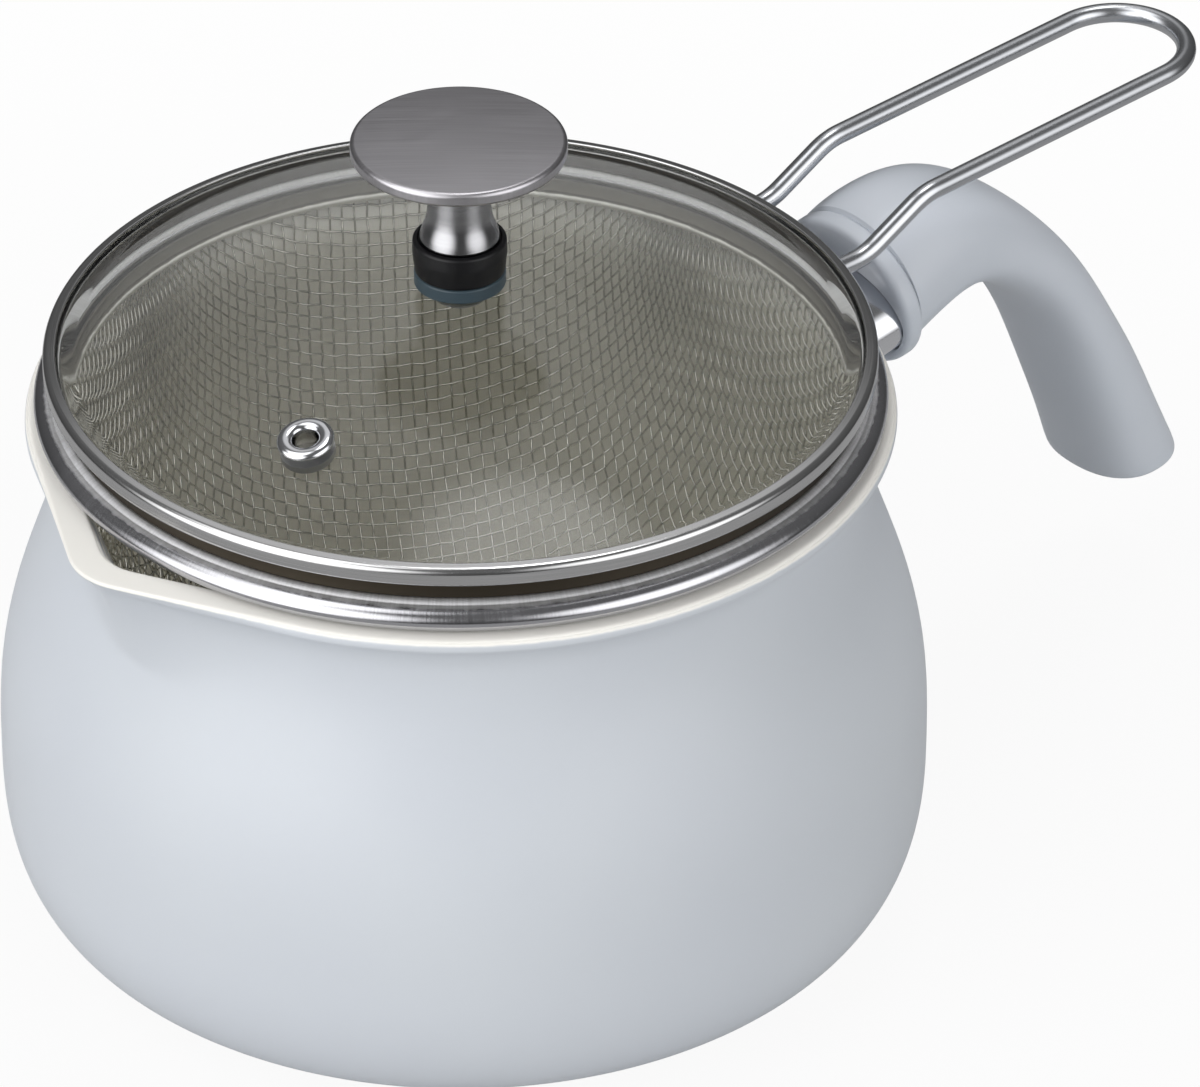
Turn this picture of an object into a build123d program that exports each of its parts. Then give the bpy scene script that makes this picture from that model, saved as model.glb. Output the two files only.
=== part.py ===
from build123d import *
import os
from math import cos, pi, radians, sin, sqrt

# Lid size, which the mouth, the strainer, the spout and both handles follow
LID_R = 80.0

# Pot body
FOOT_Z = 0.4
BASE_R = 66.0
BELLY_R = 90.85
BELLY_Z = 33.0
NECK_IN = 1.7
NECK_R = LID_R - NECK_IN
NECK_Z = 97.0
FOOT_POWER = 2.8
SHOULDER_POWER = 1.4
WALL_STEPS = 12
WALL = 2.8
COAT = 0.4

# Lip and pouring spout, which points along -X
LIP_OUT = 3.8
LIP_R = LID_R + LIP_OUT
LIP_TOP = 107.3
LIP_EDGE = 2.8
LIP_ROUND = 1.1
PAINT_LAP = 1.9
MOUTH_IN = 1.6
MOUTH_R = LID_R - MOUTH_IN
MOUTH_OVER = 0.6
FLARE_STEPS = 8
SPOUT_OUT = 8.6
SPOUT_REACH = LIP_R + SPOUT_OUT
SPOUT_TIP_R = 14.0
SPOUT_FALL = 29.0
SPOUT_SINK = 2.4
SPOUT_LIP = 6.0
SPOUT_NOSE = 28.0
SPOUT_ROOT = 30.0
SPOUT_BURY = 1.5

# Steel disc let into the underside
PLATE_R = 60.0
PLATE_T = 1.6

# Handle: collar, ferrule, bracket and screw
COLLAR_OUT = 20.0
COLLAR_X = LID_R + COLLAR_OUT
COLLAR_Z = 92.2
COLLAR_A = 18.45
COLLAR_B = 15.6
COLLAR_T = 4.6
COLLAR_ROUND = 1.2
HANDLE_TILT = 8.0
GRIP_POINTS = [(10.0, 96.6), (24.1, 97.9), (36.3, 90.7), (48.4, 79.2), (59.9, 62.6), (75.5, 27.3)]
GRIP_HALF_WIDTHS = [16.0, 16.1, 16.1, 16.0, 15.8, 15.6, 15.4, 15.3, 15.2]
GRIP_HALF_HEIGHTS = [13.8, 13.0, 10.4, 8.7, 8.0, 8.3, 9.5, 10.2, 11.2]
GRIP_END_ROUND = 3.0
FERRULE_DROP = 2.25
FERRULE_A = 16.5
FERRULE_B = 9.5
FERRULE_WALL = 0.9
FERRULE_SOCKET = 2.5
FOOT_GAP = 0.6
FOOT_LENGTH = 7.0
TANG_WIDTH = 18.0
TANG_T = 4.0
TANG_REACH = 12.0
TANG_CLEAR = 0.15
HANDLE_SCREW_R = 2.0
HANDLE_SCREW_AT = 6.0
HANDLE_SCREW_TIP = 4.5
HANDLE_HEAD_R = 3.6
HANDLE_HEAD_T = 2.2
WASHER_R = 4.1
WASHER_T = 0.8
LEDGE_T = 3.3
HOLE_CLEAR = 0.2

# Strainer ring, band and basket
SEAT = 0.05
BEAD_R = 3.1
BEAD_IN = 1.1
BEAD_CENTRE_R = LID_R - BEAD_IN
SHEET = 0.6
BAND_DROP = 3.0
HEM_R = 0.65
MESH_T = 0.6
BASKET_IN = 5.8
BASKET_NECK_R = LID_R - BASKET_IN
BASKET_DEPTH = 88.0
BASKET_POWER = 2.5

# Wire handle
WIRE_R = 2.0
WIRE_GAUGE = 28.15
WIRE_ROOT_Z = 110.0
WIRE_RISE_OUT = 12.0
WIRE_RISE_X = LID_R + WIRE_RISE_OUT
WIRE_LEG_OUT = 27.5
WIRE_LEG_X = LID_R + WIRE_LEG_OUT
WIRE_LEG_Z = 118.05
WIRE_SLOPE = 0.032
WIRE_LOOP_OUT = 93.55
WIRE_LOOP_X = LID_R + WIRE_LOOP_OUT
WIRE_BEND = 9.0

# Glass lid
LID_TOP = 121.2
RIM_H = 4.0
RIM_SHEET = 0.7
RIM_COVER = 2.6
SKIRT_IN = 2.6
SKIRT_R = LID_R - SKIRT_IN
GLASS_APEX = 134.9
GLASS_T = 4.0
GLASS_EDGE_IN = 1.2
GLASS_EDGE_R = LID_R - GLASS_EDGE_IN
DOME_FOOT_IN = 0.4
GLASS_HOLE_R = 3.0

# Steam vent
VENT_IN = 26.0
VENT_AT = LID_R - VENT_IN
VENT_TURN = 197.4
VENT_FLANGE_R = 5.5
VENT_HOLE_R = 2.45
VENT_WALL = 0.75
VENT_CROWN = 1.7
VENT_WASHER_R = 5.2
VENT_WASHER_T = 0.9

# Knob
GASKET_R = 8.8
GASKET_TOP = 137.5
COLLAR_KNOB_R = 9.1
COLLAR_KNOB_TOP = 144.7
STEM_FOOT_R = 7.75
STEM_WAIST_R = 5.7
STEM_HEAD_R = 6.2
DISC_R = 20.6
DISC_T = 3.2
DISC_TOP = 166.3
DISC_ROUND = 0.9
SPIGOT_R = 4.0
SPIGOT_H = 1.6
KNOB_SCREW_R = 2.0
KNOB_SCREW_REACH = 9.0
KNOB_HEAD_R = 3.4
KNOB_HEAD_T = 1.0
LOWER_GASKET_R = 5.4
LOWER_GASKET_T = 0.6
KNOB_WASHER_R = 5.0
KNOB_WASHER_T = 0.5
BORE_CLEAR = 0.1


def turned(*edges):
    """Solid of revolution about Z from the edges of a closed outline in the XZ plane."""
    return revolve(make_face(list(edges)), Axis.Z, 360)


def turned_outline(points):
    """Solid of revolution about Z from corner points given as radius and height."""
    corners = [(r, 0, z) for r, z in points]
    return revolve(make_face(Polyline(*corners, close=True)), Axis.Z, 360)


def disc(radius, low, high):
    """Upright cylinder on the axis between two heights."""
    return Pos(0, 0, (low + high) / 2) * Cylinder(radius, high - low)


def washer(outer, inner, low, high):
    """Flat ring on the axis between two heights."""
    return disc(outer, low, high) - disc(inner, low, high)


def belly_radius(z):
    """Outer radius of the pot wall between belly and neck."""
    share = min(max((z - BELLY_Z) / (NECK_Z - BELLY_Z), 0.0), 1.0)
    return NECK_R + (BELLY_R - NECK_R) * (1 + cos(pi * share ** SHOULDER_POWER)) / 2


def wall_points(inset):
    """Pot wall from foot to neck, moved in along its normal."""
    line = []
    for k in range(WALL_STEPS):
        turn = pi / 2 * k / (WALL_STEPS - 1)
        r = BASE_R + (BELLY_R - BASE_R) * sin(turn) ** (2 / FOOT_POWER)
        z = BELLY_Z - (BELLY_Z - FOOT_Z) * max(cos(turn), 0.0) ** (2 / FOOT_POWER)
        line.append((r, z))
    for k in range(1, WALL_STEPS):
        z = BELLY_Z + (NECK_Z - BELLY_Z) * k / (WALL_STEPS - 1)
        line.append((belly_radius(z), z))
    moved = []
    for k, (r, z) in enumerate(line):
        r0, z0 = line[max(k - 1, 0)]
        r1, z1 = line[min(k + 1, len(line) - 1)]
        along_r, along_z = r1 - r0, z1 - z0
        if k == 0:
            along_r, along_z = 1.0, 0.0
        if k == len(line) - 1:
            along_r, along_z = 0.0, 1.0
        size = sqrt(along_r ** 2 + along_z ** 2)
        moved.append((r - inset * along_z / size, z + inset * along_r / size))
    return moved


def flare(r0, z0, r1, z1):
    """Points of a quarter sweep that leaves upright and ends level."""
    steps = [radians(90 * k / FLARE_STEPS) for k in range(FLARE_STEPS + 1)]
    return [(r0 + (r1 - r0) * (1 - cos(a)), z0 + (z1 - z0) * sin(a)) for a in steps]


def curve(points):
    """Smooth curve through radius and height points."""
    return Spline(*[(r, 0, z) for r, z in points])


def chain(*points):
    """Straight edges through radius and height points."""
    return Polyline(*[(r, 0, z) for r, z in points]).edges()


def spout_block(reach, tip_r, top, inset, sink):
    """Beak that runs from the shoulder out to the lip, tapering down into the wall."""
    faces = []
    for share in (0.0, 0.35, 0.6, 0.82, 1.0):
        z = top - SPOUT_FALL * (1 - share)
        root = belly_radius(z) - inset - SPOUT_BURY
        if share == 1.0:
            root = LIP_R - inset - SPOUT_BURY
        low = belly_radius(top - SPOUT_FALL) - inset - sink
        tip = low + (reach - low) * (0.55 * share + 0.45 * share ** 4)
        nose = tip_r * (0.7 + 0.3 * share)
        a, b = radians(SPOUT_NOSE), radians(SPOUT_ROOT)
        shoulder_x, shoulder_y = -(tip - nose + nose * cos(a)), nose * sin(a)
        root_x, root_y = -root * cos(b), root * sin(b)
        edges = [
            ThreePointArc((shoulder_x, -shoulder_y, z), (-tip, 0, z), (shoulder_x, shoulder_y, z)),
            Line((shoulder_x, shoulder_y, z), (root_x, root_y, z)),
            Line((root_x, root_y, z), (root_x, -root_y, z)),
            Line((root_x, -root_y, z), (shoulder_x, -shoulder_y, z)),
        ]
        faces.append(make_face(edges))
    return loft(faces)


def outer_form(inset):
    """Filled outside of the pot; inset draws in the lip only."""
    lip_r, top = LIP_R - inset, LIP_TOP - inset
    under = LIP_TOP - LIP_EDGE
    wall = wall_points(0)
    bend = flare(NECK_R, NECK_Z, lip_r - LIP_ROUND / 2, under)
    body = turned(
        *chain((0, FOOT_Z), wall[0]),
        curve(wall),
        curve(bend),
        ThreePointArc((bend[-1][0], 0, under), (lip_r, 0, (under + top) / 2), (lip_r - LIP_ROUND, 0, top)),
        *chain((lip_r - LIP_ROUND, top), (0, top), (0, FOOT_Z)),
    )
    return body + spout_block(SPOUT_REACH - inset, SPOUT_TIP_R, top, 0, SPOUT_SINK)


def cavity(depth):
    """Inside of the pot at a given depth below the painted wall, open at the top."""
    extra = depth - WALL
    wall = wall_points(depth)
    mouth, over_lip = MOUTH_R - extra, LIP_TOP + MOUTH_OVER
    bend = flare(NECK_R - depth, NECK_Z, mouth, over_lip)
    hollow = turned(
        *chain((0, wall[0][1]), wall[0]),
        curve(wall),
        curve(bend),
        *chain((mouth, over_lip), (mouth, LIP_TOP + WALL), (0, LIP_TOP + WALL), (0, wall[0][1])),
    )
    beak = spout_block(SPOUT_REACH - SPOUT_LIP - extra, SPOUT_TIP_R - WALL, LIP_TOP, depth, SPOUT_SINK)
    over = Pos(0, 0, WALL / 2) * extrude(beak.faces().sort_by(Axis.Z)[-1], WALL / 2, both=True)
    return hollow + beak + over


def above_lip_line():
    """Space above the edge where the ivory lip meets the painted wall."""
    return disc(2 * BELLY_R, LIP_TOP - LIP_EDGE + PAINT_LAP, LIP_TOP + WALL)


def pot_shell():
    lip = outer_form(COAT) & above_lip_line()
    body = (outer_form(0) - above_lip_line()) + lip - cavity(WALL)
    return body - disc(PLATE_R, FOOT_Z - PLATE_T, PLATE_T)


def inner_coating():
    lip = (outer_form(0) & above_lip_line()) - outer_form(COAT)
    lining = cavity(WALL) & outer_form(0)
    return lip + lining - cavity(WALL + COAT)


def base_plate():
    return disc(PLATE_R, 0, PLATE_T)


def handle_plane():
    """Frame at the middle of the collar face: X sideways, Y up, Z out along the handle."""
    a = radians(HANDLE_TILT)
    return Plane(origin=(COLLAR_X, 0, COLLAR_Z), x_dir=(0, 1, 0), z_dir=(cos(a), 0, sin(a)))


def oval(half_width, half_height, start, end):
    """Oval bar about the ferrule line between two distances along the handle."""
    face = handle_plane() * Pos(0, -FERRULE_DROP, start) * Ellipse(half_width, half_height)
    a = radians(HANDLE_TILT)
    return extrude(face, end - start, dir=(cos(a), 0, sin(a)))


def pot_wall_reach():
    """Distance from the collar face back to just inside the pot wall."""
    return COLLAR_X - NECK_R + WALL


def ferrule():
    tube = oval(FERRULE_A, FERRULE_B, -pot_wall_reach(), FERRULE_SOCKET)
    tube -= oval(FERRULE_A - FERRULE_WALL, FERRULE_B - FERRULE_WALL, -pot_wall_reach(), FERRULE_SOCKET)
    return tube - outer_form(0)


def tang(clear):
    """Flat steel bar that runs from the foot into the grip."""
    start = -pot_wall_reach() + FOOT_LENGTH
    long = TANG_REACH - start + clear
    bar = Box(TANG_WIDTH + 2 * clear, TANG_T + 2 * clear, long)
    return handle_plane() * Pos(0, -FERRULE_DROP, start + long / 2) * bar


def below_tang(radius, near, far):
    """Round bar across the handle at the screw, from near to far below the tang's middle."""
    bar = Rot(90, 0, 0) * Cylinder(radius, far - near)
    return handle_plane() * Pos(0, -FERRULE_DROP - (near + far) / 2, HANDLE_SCREW_AT) * bar


def handle_bracket():
    inner_a = FERRULE_A - FERRULE_WALL - FOOT_GAP
    inner_b = FERRULE_B - FERRULE_WALL - FOOT_GAP
    foot = oval(inner_a, inner_b, -pot_wall_reach(), -pot_wall_reach() + FOOT_LENGTH)
    body = foot + tang(0) - outer_form(0)
    return body - below_tang(HANDLE_SCREW_R, -TANG_T, TANG_T)


def screw_ledge():
    """Distance below the tang's middle where the screw washer bears."""
    return TANG_T / 2 + LEDGE_T


def handle_grip():
    path = Spline((COLLAR_X, 0, COLLAR_Z), *[(COLLAR_X + x, 0, z) for x, z in GRIP_POINTS])
    faces = []
    last = len(GRIP_HALF_WIDTHS) - 1
    for k, (half_w, half_h) in enumerate(zip(GRIP_HALF_WIDTHS, GRIP_HALF_HEIGHTS)):
        place = Plane(origin=path @ (k / last), x_dir=(0, 1, 0), z_dir=path % (k / last))
        faces.append(place * Ellipse(half_w, half_h))
    body = loft(faces)
    end_edges = body.edges().sort_by(Axis.Z)[0]
    body = fillet(end_edges, GRIP_END_ROUND)
    ring = handle_plane() * extrude(Ellipse(COLLAR_A, COLLAR_B), COLLAR_T)
    ring = fillet(ring.edges().filter_by(GeomType.ELLIPSE), COLLAR_ROUND)
    a = radians(HANDLE_TILT)
    pot_side = extrude(handle_plane() * Circle(2 * COLLAR_A), COLLAR_A, dir=(-cos(a), 0, -sin(a)))
    body = body - pot_side + ring
    body -= oval(FERRULE_A, FERRULE_B, -COLLAR_T, FERRULE_SOCKET)
    body -= tang(TANG_CLEAR)
    body -= below_tang(HANDLE_SCREW_R + HOLE_CLEAR, -HANDLE_SCREW_TIP - HOLE_CLEAR, screw_ledge())
    return body - below_tang(WASHER_R + HOLE_CLEAR, screw_ledge(), screw_ledge() + COLLAR_B)


def screw_washer():
    low = screw_ledge()
    return below_tang(WASHER_R, low, low + WASHER_T) - below_tang(HANDLE_SCREW_R + HOLE_CLEAR, low, low + WASHER_T)


def handle_screw():
    seat = screw_ledge() + WASHER_T
    shank = below_tang(HANDLE_SCREW_R, -HANDLE_SCREW_TIP, seat)
    return shank + below_tang(HANDLE_HEAD_R, seat, seat + HANDLE_HEAD_T)


def bead_z():
    """Height of the middle of the rolled bead."""
    return LIP_TOP + SEAT + BEAD_R


def strainer_rim():
    """Sheet rolled outward over the top into an open bead, with a short band below its inner side."""
    z, inner = bead_z(), BEAD_CENTRE_R - BEAD_R
    start, stop = radians(180), radians(-120)
    mid = (start + stop) / 2
    small = BEAD_R - SHEET

    def at(radius, angle):
        return (BEAD_CENTRE_R + radius * cos(angle), 0, z + radius * sin(angle))

    edges = [
        ThreePointArc(at(BEAD_R, start), at(BEAD_R, mid), at(BEAD_R, stop)),
        Line(at(BEAD_R, stop), at(small, stop)),
        ThreePointArc(at(small, stop), at(small, mid), at(small, start)),
        *chain((inner + SHEET, z), (inner + SHEET, z - BAND_DROP), (inner, z - BAND_DROP), (inner, z)),
    ]
    return turned(*edges)


def mesh_top_r():
    """Outer radius of the mesh where it is clamped against the band."""
    return BEAD_CENTRE_R - BEAD_R


def inner_band():
    """Strip that clamps the mesh, its upper edge rolled into a round hem over the mesh."""
    outer, low = mesh_top_r() - MESH_T, bead_z() - BAND_DROP
    inner, hem_z = outer - SHEET, bead_z() + HEM_R / 2
    hem_r = outer - SHEET / 2 + HEM_R / 4
    meet_out = hem_z - sqrt(HEM_R ** 2 - (outer - hem_r) ** 2)
    meet_in = hem_z - sqrt(HEM_R ** 2 - (inner - hem_r) ** 2)
    return turned(
        *chain((inner, meet_in), (inner, low), (outer, low), (outer, meet_out)),
        ThreePointArc((outer, 0, meet_out), (hem_r, 0, hem_z + HEM_R), (inner, 0, meet_in)),
    )


def mesh_clamp():
    """Upper and lower height of the straight strip of mesh held by the band."""
    top = bead_z() - MESH_T
    return top, bead_z() - BAND_DROP


def basket_points(inset):
    """Basket wall from the bottom of the clamped strip down to the middle of the bottom."""
    top, neck, bottom = mesh_clamp()[1], NECK_Z, bead_z() - BASKET_DEPTH
    points = []
    for k in range(5):
        share = 1 - k / 5
        ease = share ** 2 * (3 - 2 * share)
        r = BASKET_NECK_R + (mesh_top_r() - BASKET_NECK_R) * ease - inset
        points.append((r, neck + (top - neck) * share))
    for k in range(WALL_STEPS + 1):
        a = pi / 2 * k / WALL_STEPS
        r = (BASKET_NECK_R - inset) * max(cos(a), 0.0) ** (2 / BASKET_POWER)
        z = neck - (neck - bottom - inset) * sin(a) ** (2 / BASKET_POWER)
        points.append((r, z))
    points[-1] = (0, bottom + inset)
    return points


def mesh_basket():
    outer, inner = basket_points(0), basket_points(MESH_T)
    top = mesh_clamp()[0]
    return turned(
        curve(outer),
        *chain(outer[-1], inner[-1]),
        curve(inner[::-1]),
        *chain(inner[0], (inner[0][0], top), (outer[0][0], top), outer[0]),
    )


def wire_handle():
    half = WIRE_GAUGE / 2
    loop_z = WIRE_LEG_Z + WIRE_SLOPE * (WIRE_LOOP_X - WIRE_LEG_X)
    legs = []
    for side in (half, -half):
        corners = [
            (BEAD_CENTRE_R, side, WIRE_ROOT_Z),
            (WIRE_RISE_X, side, WIRE_ROOT_Z),
            (WIRE_LEG_X, side, WIRE_LEG_Z),
            (WIRE_LOOP_X, side, loop_z),
        ]
        legs.append(FilletPolyline(*corners, radius=WIRE_BEND))
    tip = (WIRE_LOOP_X + half, 0, loop_z + WIRE_SLOPE * half)
    loop = ThreePointArc((WIRE_LOOP_X, half, loop_z), tip, (WIRE_LOOP_X, -half, loop_z))
    path = Wire(legs[0].edges() + loop.edges() + legs[1].edges())
    start = Plane(origin=(BEAD_CENTRE_R, half, WIRE_ROOT_Z), z_dir=(1, 0, 0))
    bar = sweep(start * Circle(WIRE_R), path)
    bead = Pos(0, 0, bead_z()) * Torus(BEAD_CENTRE_R, BEAD_R)
    inside = disc(BEAD_CENTRE_R + WIRE_R / 2, bead_z() - BEAD_R, bead_z() + BEAD_R)
    return bar - bead - inside


def rim_low():
    """Underside of the channel that holds the glass."""
    return LID_TOP - RIM_H


def dome_foot_r():
    """Radius where the dome meets its flat edge, just inside the cover of the channel."""
    return LID_R - RIM_COVER - DOME_FOOT_IN


def glass_high():
    return LID_TOP - RIM_SHEET


def glass_low():
    return rim_low() + RIM_SHEET


def dome(apex, foot_r, foot_z):
    """Ball that makes a dome of a given apex over a foot circle; gives its radius and centre height."""
    rise = apex - foot_z
    radius = (foot_r ** 2 + rise ** 2) / (2 * rise)
    return radius, apex - radius


def dome_mid(apex, foot_r, foot_z):
    """Point half way along the dome's profile."""
    radius, centre = dome(apex, foot_r, foot_z)
    return (foot_r / 2, 0, centre + sqrt(radius ** 2 - (foot_r / 2) ** 2))


def glass_blank():
    """Lid glass before its holes are drilled."""
    top_r = dome_foot_r()
    low_r = top_r - GLASS_T / 2
    apex_in = GLASS_APEX - GLASS_T
    return turned(
        ThreePointArc((0, 0, GLASS_APEX), dome_mid(GLASS_APEX, top_r, glass_high()), (top_r, 0, glass_high())),
        *chain((top_r, glass_high()), (GLASS_EDGE_R, glass_high()), (GLASS_EDGE_R, glass_low()), (low_r, glass_low())),
        ThreePointArc((low_r, 0, glass_low()), dome_mid(apex_in, low_r, glass_low()), (0, 0, apex_in)),
        *chain((0, apex_in), (0, GLASS_APEX)),
    )


def vent_plane():
    """Frame on the glass at the vent, Z out along the normal of the dome."""
    radius, centre = dome(GLASS_APEX, dome_foot_r(), glass_high())
    lean = VENT_AT / radius
    a = radians(VENT_TURN)
    out = (lean * cos(a), lean * sin(a), sqrt(1 - lean ** 2))
    return Plane(origin=(radius * out[0], radius * out[1], centre + radius * out[2]), z_dir=out)


def vent_bar(radius, low, high):
    """Round bar through the vent between two heights above the glass."""
    return vent_plane() * Pos(0, 0, (low + high) / 2) * Cylinder(radius, high - low)


def vent_barrel_r():
    return VENT_HOLE_R + VENT_WALL


def lid_glass():
    holes = disc(GLASS_HOLE_R, GLASS_APEX - 3 * GLASS_T, GLASS_APEX + GLASS_T)
    return glass_blank() - holes - vent_bar(vent_barrel_r(), -2 * GLASS_T, GLASS_T)


def lid_rim():
    skirt_in = SKIRT_R - RIM_SHEET
    reach = sqrt(BEAD_R ** 2 - (BEAD_CENTRE_R - SKIRT_R) ** 2)
    skirt_low = bead_z() + reach + SEAT
    cover = LID_R - RIM_COVER
    profile = [
        (skirt_in, skirt_low), (SKIRT_R, skirt_low), (SKIRT_R, rim_low()), (LID_R, rim_low()),
        (LID_R, LID_TOP), (cover, LID_TOP), (cover, glass_high()), (GLASS_EDGE_R, glass_high()),
        (GLASS_EDGE_R, glass_low()), (skirt_in, glass_low()),
    ]
    body = turned_outline(profile)
    outer = body.edges().filter_by(GeomType.CIRCLE).filter_by(lambda e: abs(e.radius - LID_R) < SEAT)
    return fillet(outer, RIM_SHEET)


def vent_eyelet():
    flange = vent_plane() * Pos(0, 0, 0) * Cylinder(VENT_FLANGE_R, 2 * VENT_CROWN)
    flange = fillet(flange.edges().filter_by(GeomType.CIRCLE), VENT_CROWN * 0.9)
    below = vent_bar(vent_barrel_r(), -GLASS_T - VENT_WASHER_T, 0)
    body = flange - glass_blank() - vent_bar(2 * VENT_FLANGE_R, -2 * VENT_CROWN, -VENT_CROWN * 0.5)
    return body + below - vent_bar(VENT_HOLE_R, -2 * GLASS_T, 2 * GLASS_T)


def vent_washer():
    ring = vent_bar(VENT_WASHER_R, -GLASS_T - VENT_WASHER_T, -GLASS_T / 2) - glass_blank()
    return ring - vent_bar(vent_barrel_r(), -2 * GLASS_T, 0)


def gasket_bore_r():
    return KNOB_SCREW_R + BORE_CLEAR


def upper_gasket():
    pad = disc(GASKET_R, GLASS_APEX - GLASS_T / 2, GASKET_TOP) - glass_blank()
    sleeve = disc(GLASS_HOLE_R, GLASS_APEX - GLASS_T, GASKET_TOP)
    return pad + sleeve - disc(gasket_bore_r(), GLASS_APEX - 2 * GLASS_T, GASKET_TOP + GLASS_T)


def lower_gasket():
    low = GLASS_APEX - GLASS_T - LOWER_GASKET_T
    pad = disc(LOWER_GASKET_R, low, GLASS_APEX - GLASS_T) - glass_blank()
    return pad - disc(gasket_bore_r(), low, GLASS_APEX)


def washer_low():
    return GLASS_APEX - GLASS_T - LOWER_GASKET_T - KNOB_WASHER_T


def knob_washer():
    return washer(KNOB_WASHER_R, gasket_bore_r(), washer_low(), washer_low() + KNOB_WASHER_T)


def knob_screw():
    head = disc(KNOB_HEAD_R, washer_low() - KNOB_HEAD_T, washer_low())
    return head + disc(KNOB_SCREW_R, washer_low(), COLLAR_KNOB_TOP + KNOB_SCREW_REACH)


def knob_collar():
    body = disc(COLLAR_KNOB_R, GASKET_TOP, COLLAR_KNOB_TOP)
    body = fillet(body.edges().sort_by(Axis.Z)[-1], DISC_ROUND)
    return body - disc(gasket_bore_r(), GASKET_TOP, COLLAR_KNOB_TOP)


def disc_low():
    return DISC_TOP - DISC_T


def knob_stem():
    low, high = COLLAR_KNOB_TOP, disc_low()
    waist_z = low + (high - low) * 0.7
    side = Spline((STEM_FOOT_R, 0, low), (STEM_WAIST_R, 0, waist_z), (STEM_HEAD_R, 0, high))
    body = turned(*chain((0, low), (STEM_FOOT_R, low)), side, *chain((STEM_HEAD_R, high), (0, high), (0, low)))
    body += disc(SPIGOT_R, high, high + SPIGOT_H)
    return body - disc(KNOB_SCREW_R, low, low + KNOB_SCREW_REACH)


def knob_disc():
    body = disc(DISC_R, disc_low(), DISC_TOP)
    body = fillet(body.edges().filter_by(GeomType.CIRCLE), DISC_ROUND)
    return body - disc(SPIGOT_R, disc_low(), disc_low() + SPIGOT_H)


NODES = {
    "pot_shell": pot_shell,
    "inner_coating": inner_coating,
    "base_plate": base_plate,
    "ferrule": ferrule,
    "handle_bracket": handle_bracket,
    "handle_grip": handle_grip,
    "screw_washer": screw_washer,
    "handle_screw": handle_screw,
    "strainer_rim": strainer_rim,
    "inner_band": inner_band,
    "mesh_basket": mesh_basket,
    "wire_handle": wire_handle,
    "lid_glass": lid_glass,
    "lid_rim": lid_rim,
    "vent_eyelet": vent_eyelet,
    "vent_washer": vent_washer,
    "upper_gasket": upper_gasket,
    "lower_gasket": lower_gasket,
    "knob_washer": knob_washer,
    "knob_screw": knob_screw,
    "knob_collar": knob_collar,
    "knob_stem": knob_stem,
    "knob_disc": knob_disc,
}

os.makedirs("parts", exist_ok=True)
for name, make in NODES.items():
    export_step(make(), f"parts/{name}.step")
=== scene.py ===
"""Looks of a pouring pot with a lift-out strainer, a wire handle and a glass lid with a flat knob."""
import logging
from dataclasses import dataclass, field
from enum import Enum

import bmesh
import bpy
import numpy as np
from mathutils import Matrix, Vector


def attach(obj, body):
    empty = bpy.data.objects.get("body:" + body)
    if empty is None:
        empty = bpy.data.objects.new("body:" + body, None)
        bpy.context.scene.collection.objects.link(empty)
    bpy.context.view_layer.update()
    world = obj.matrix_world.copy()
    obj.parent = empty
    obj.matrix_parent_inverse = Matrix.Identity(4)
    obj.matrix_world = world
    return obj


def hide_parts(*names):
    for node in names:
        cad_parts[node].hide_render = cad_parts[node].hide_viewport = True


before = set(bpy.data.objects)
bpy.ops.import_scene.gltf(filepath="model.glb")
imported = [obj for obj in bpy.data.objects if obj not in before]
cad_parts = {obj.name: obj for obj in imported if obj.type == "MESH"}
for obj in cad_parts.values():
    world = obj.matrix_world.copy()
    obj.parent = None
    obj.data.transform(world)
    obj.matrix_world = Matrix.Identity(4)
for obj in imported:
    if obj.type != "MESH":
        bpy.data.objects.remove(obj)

LOG = logging.getLogger("strainer_pot")
MM = 0.001
MERGE_REACH = 2e-7
GRAIN_REACH = 0.0001
MARK_REACH = 0.00003
SMALL, TINY = 1e-6, 1e-9
WHITE = (1.0, 1.0, 1.0, 1.0)
Array = np.ndarray
Piece, Material = bpy.types.Object, bpy.types.Material
Socket, Tree = bpy.types.NodeSocket, bpy.types.NodeTree
Colour = tuple[float, float, float]


def tint(red: float, green: float, blue: float) -> Colour:
    """Scene-linear colour of a display colour.

    Args:
        red, green, blue: Display values from 0 to 255.

    Returns:
        Linear values by the display curve: c / 12.92 near black, else ((c + 0.055) / 1.055) to the power 2.4.
    """
    c = np.array([red, green, blue]) / 255.0
    linear = np.where(c <= 0.04045, c / 12.92, ((c + 0.055) / 1.055) ** 2.4)
    return tuple(float(v) for v in linear)


# ---------------------------------------------------------------- surfaces


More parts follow.
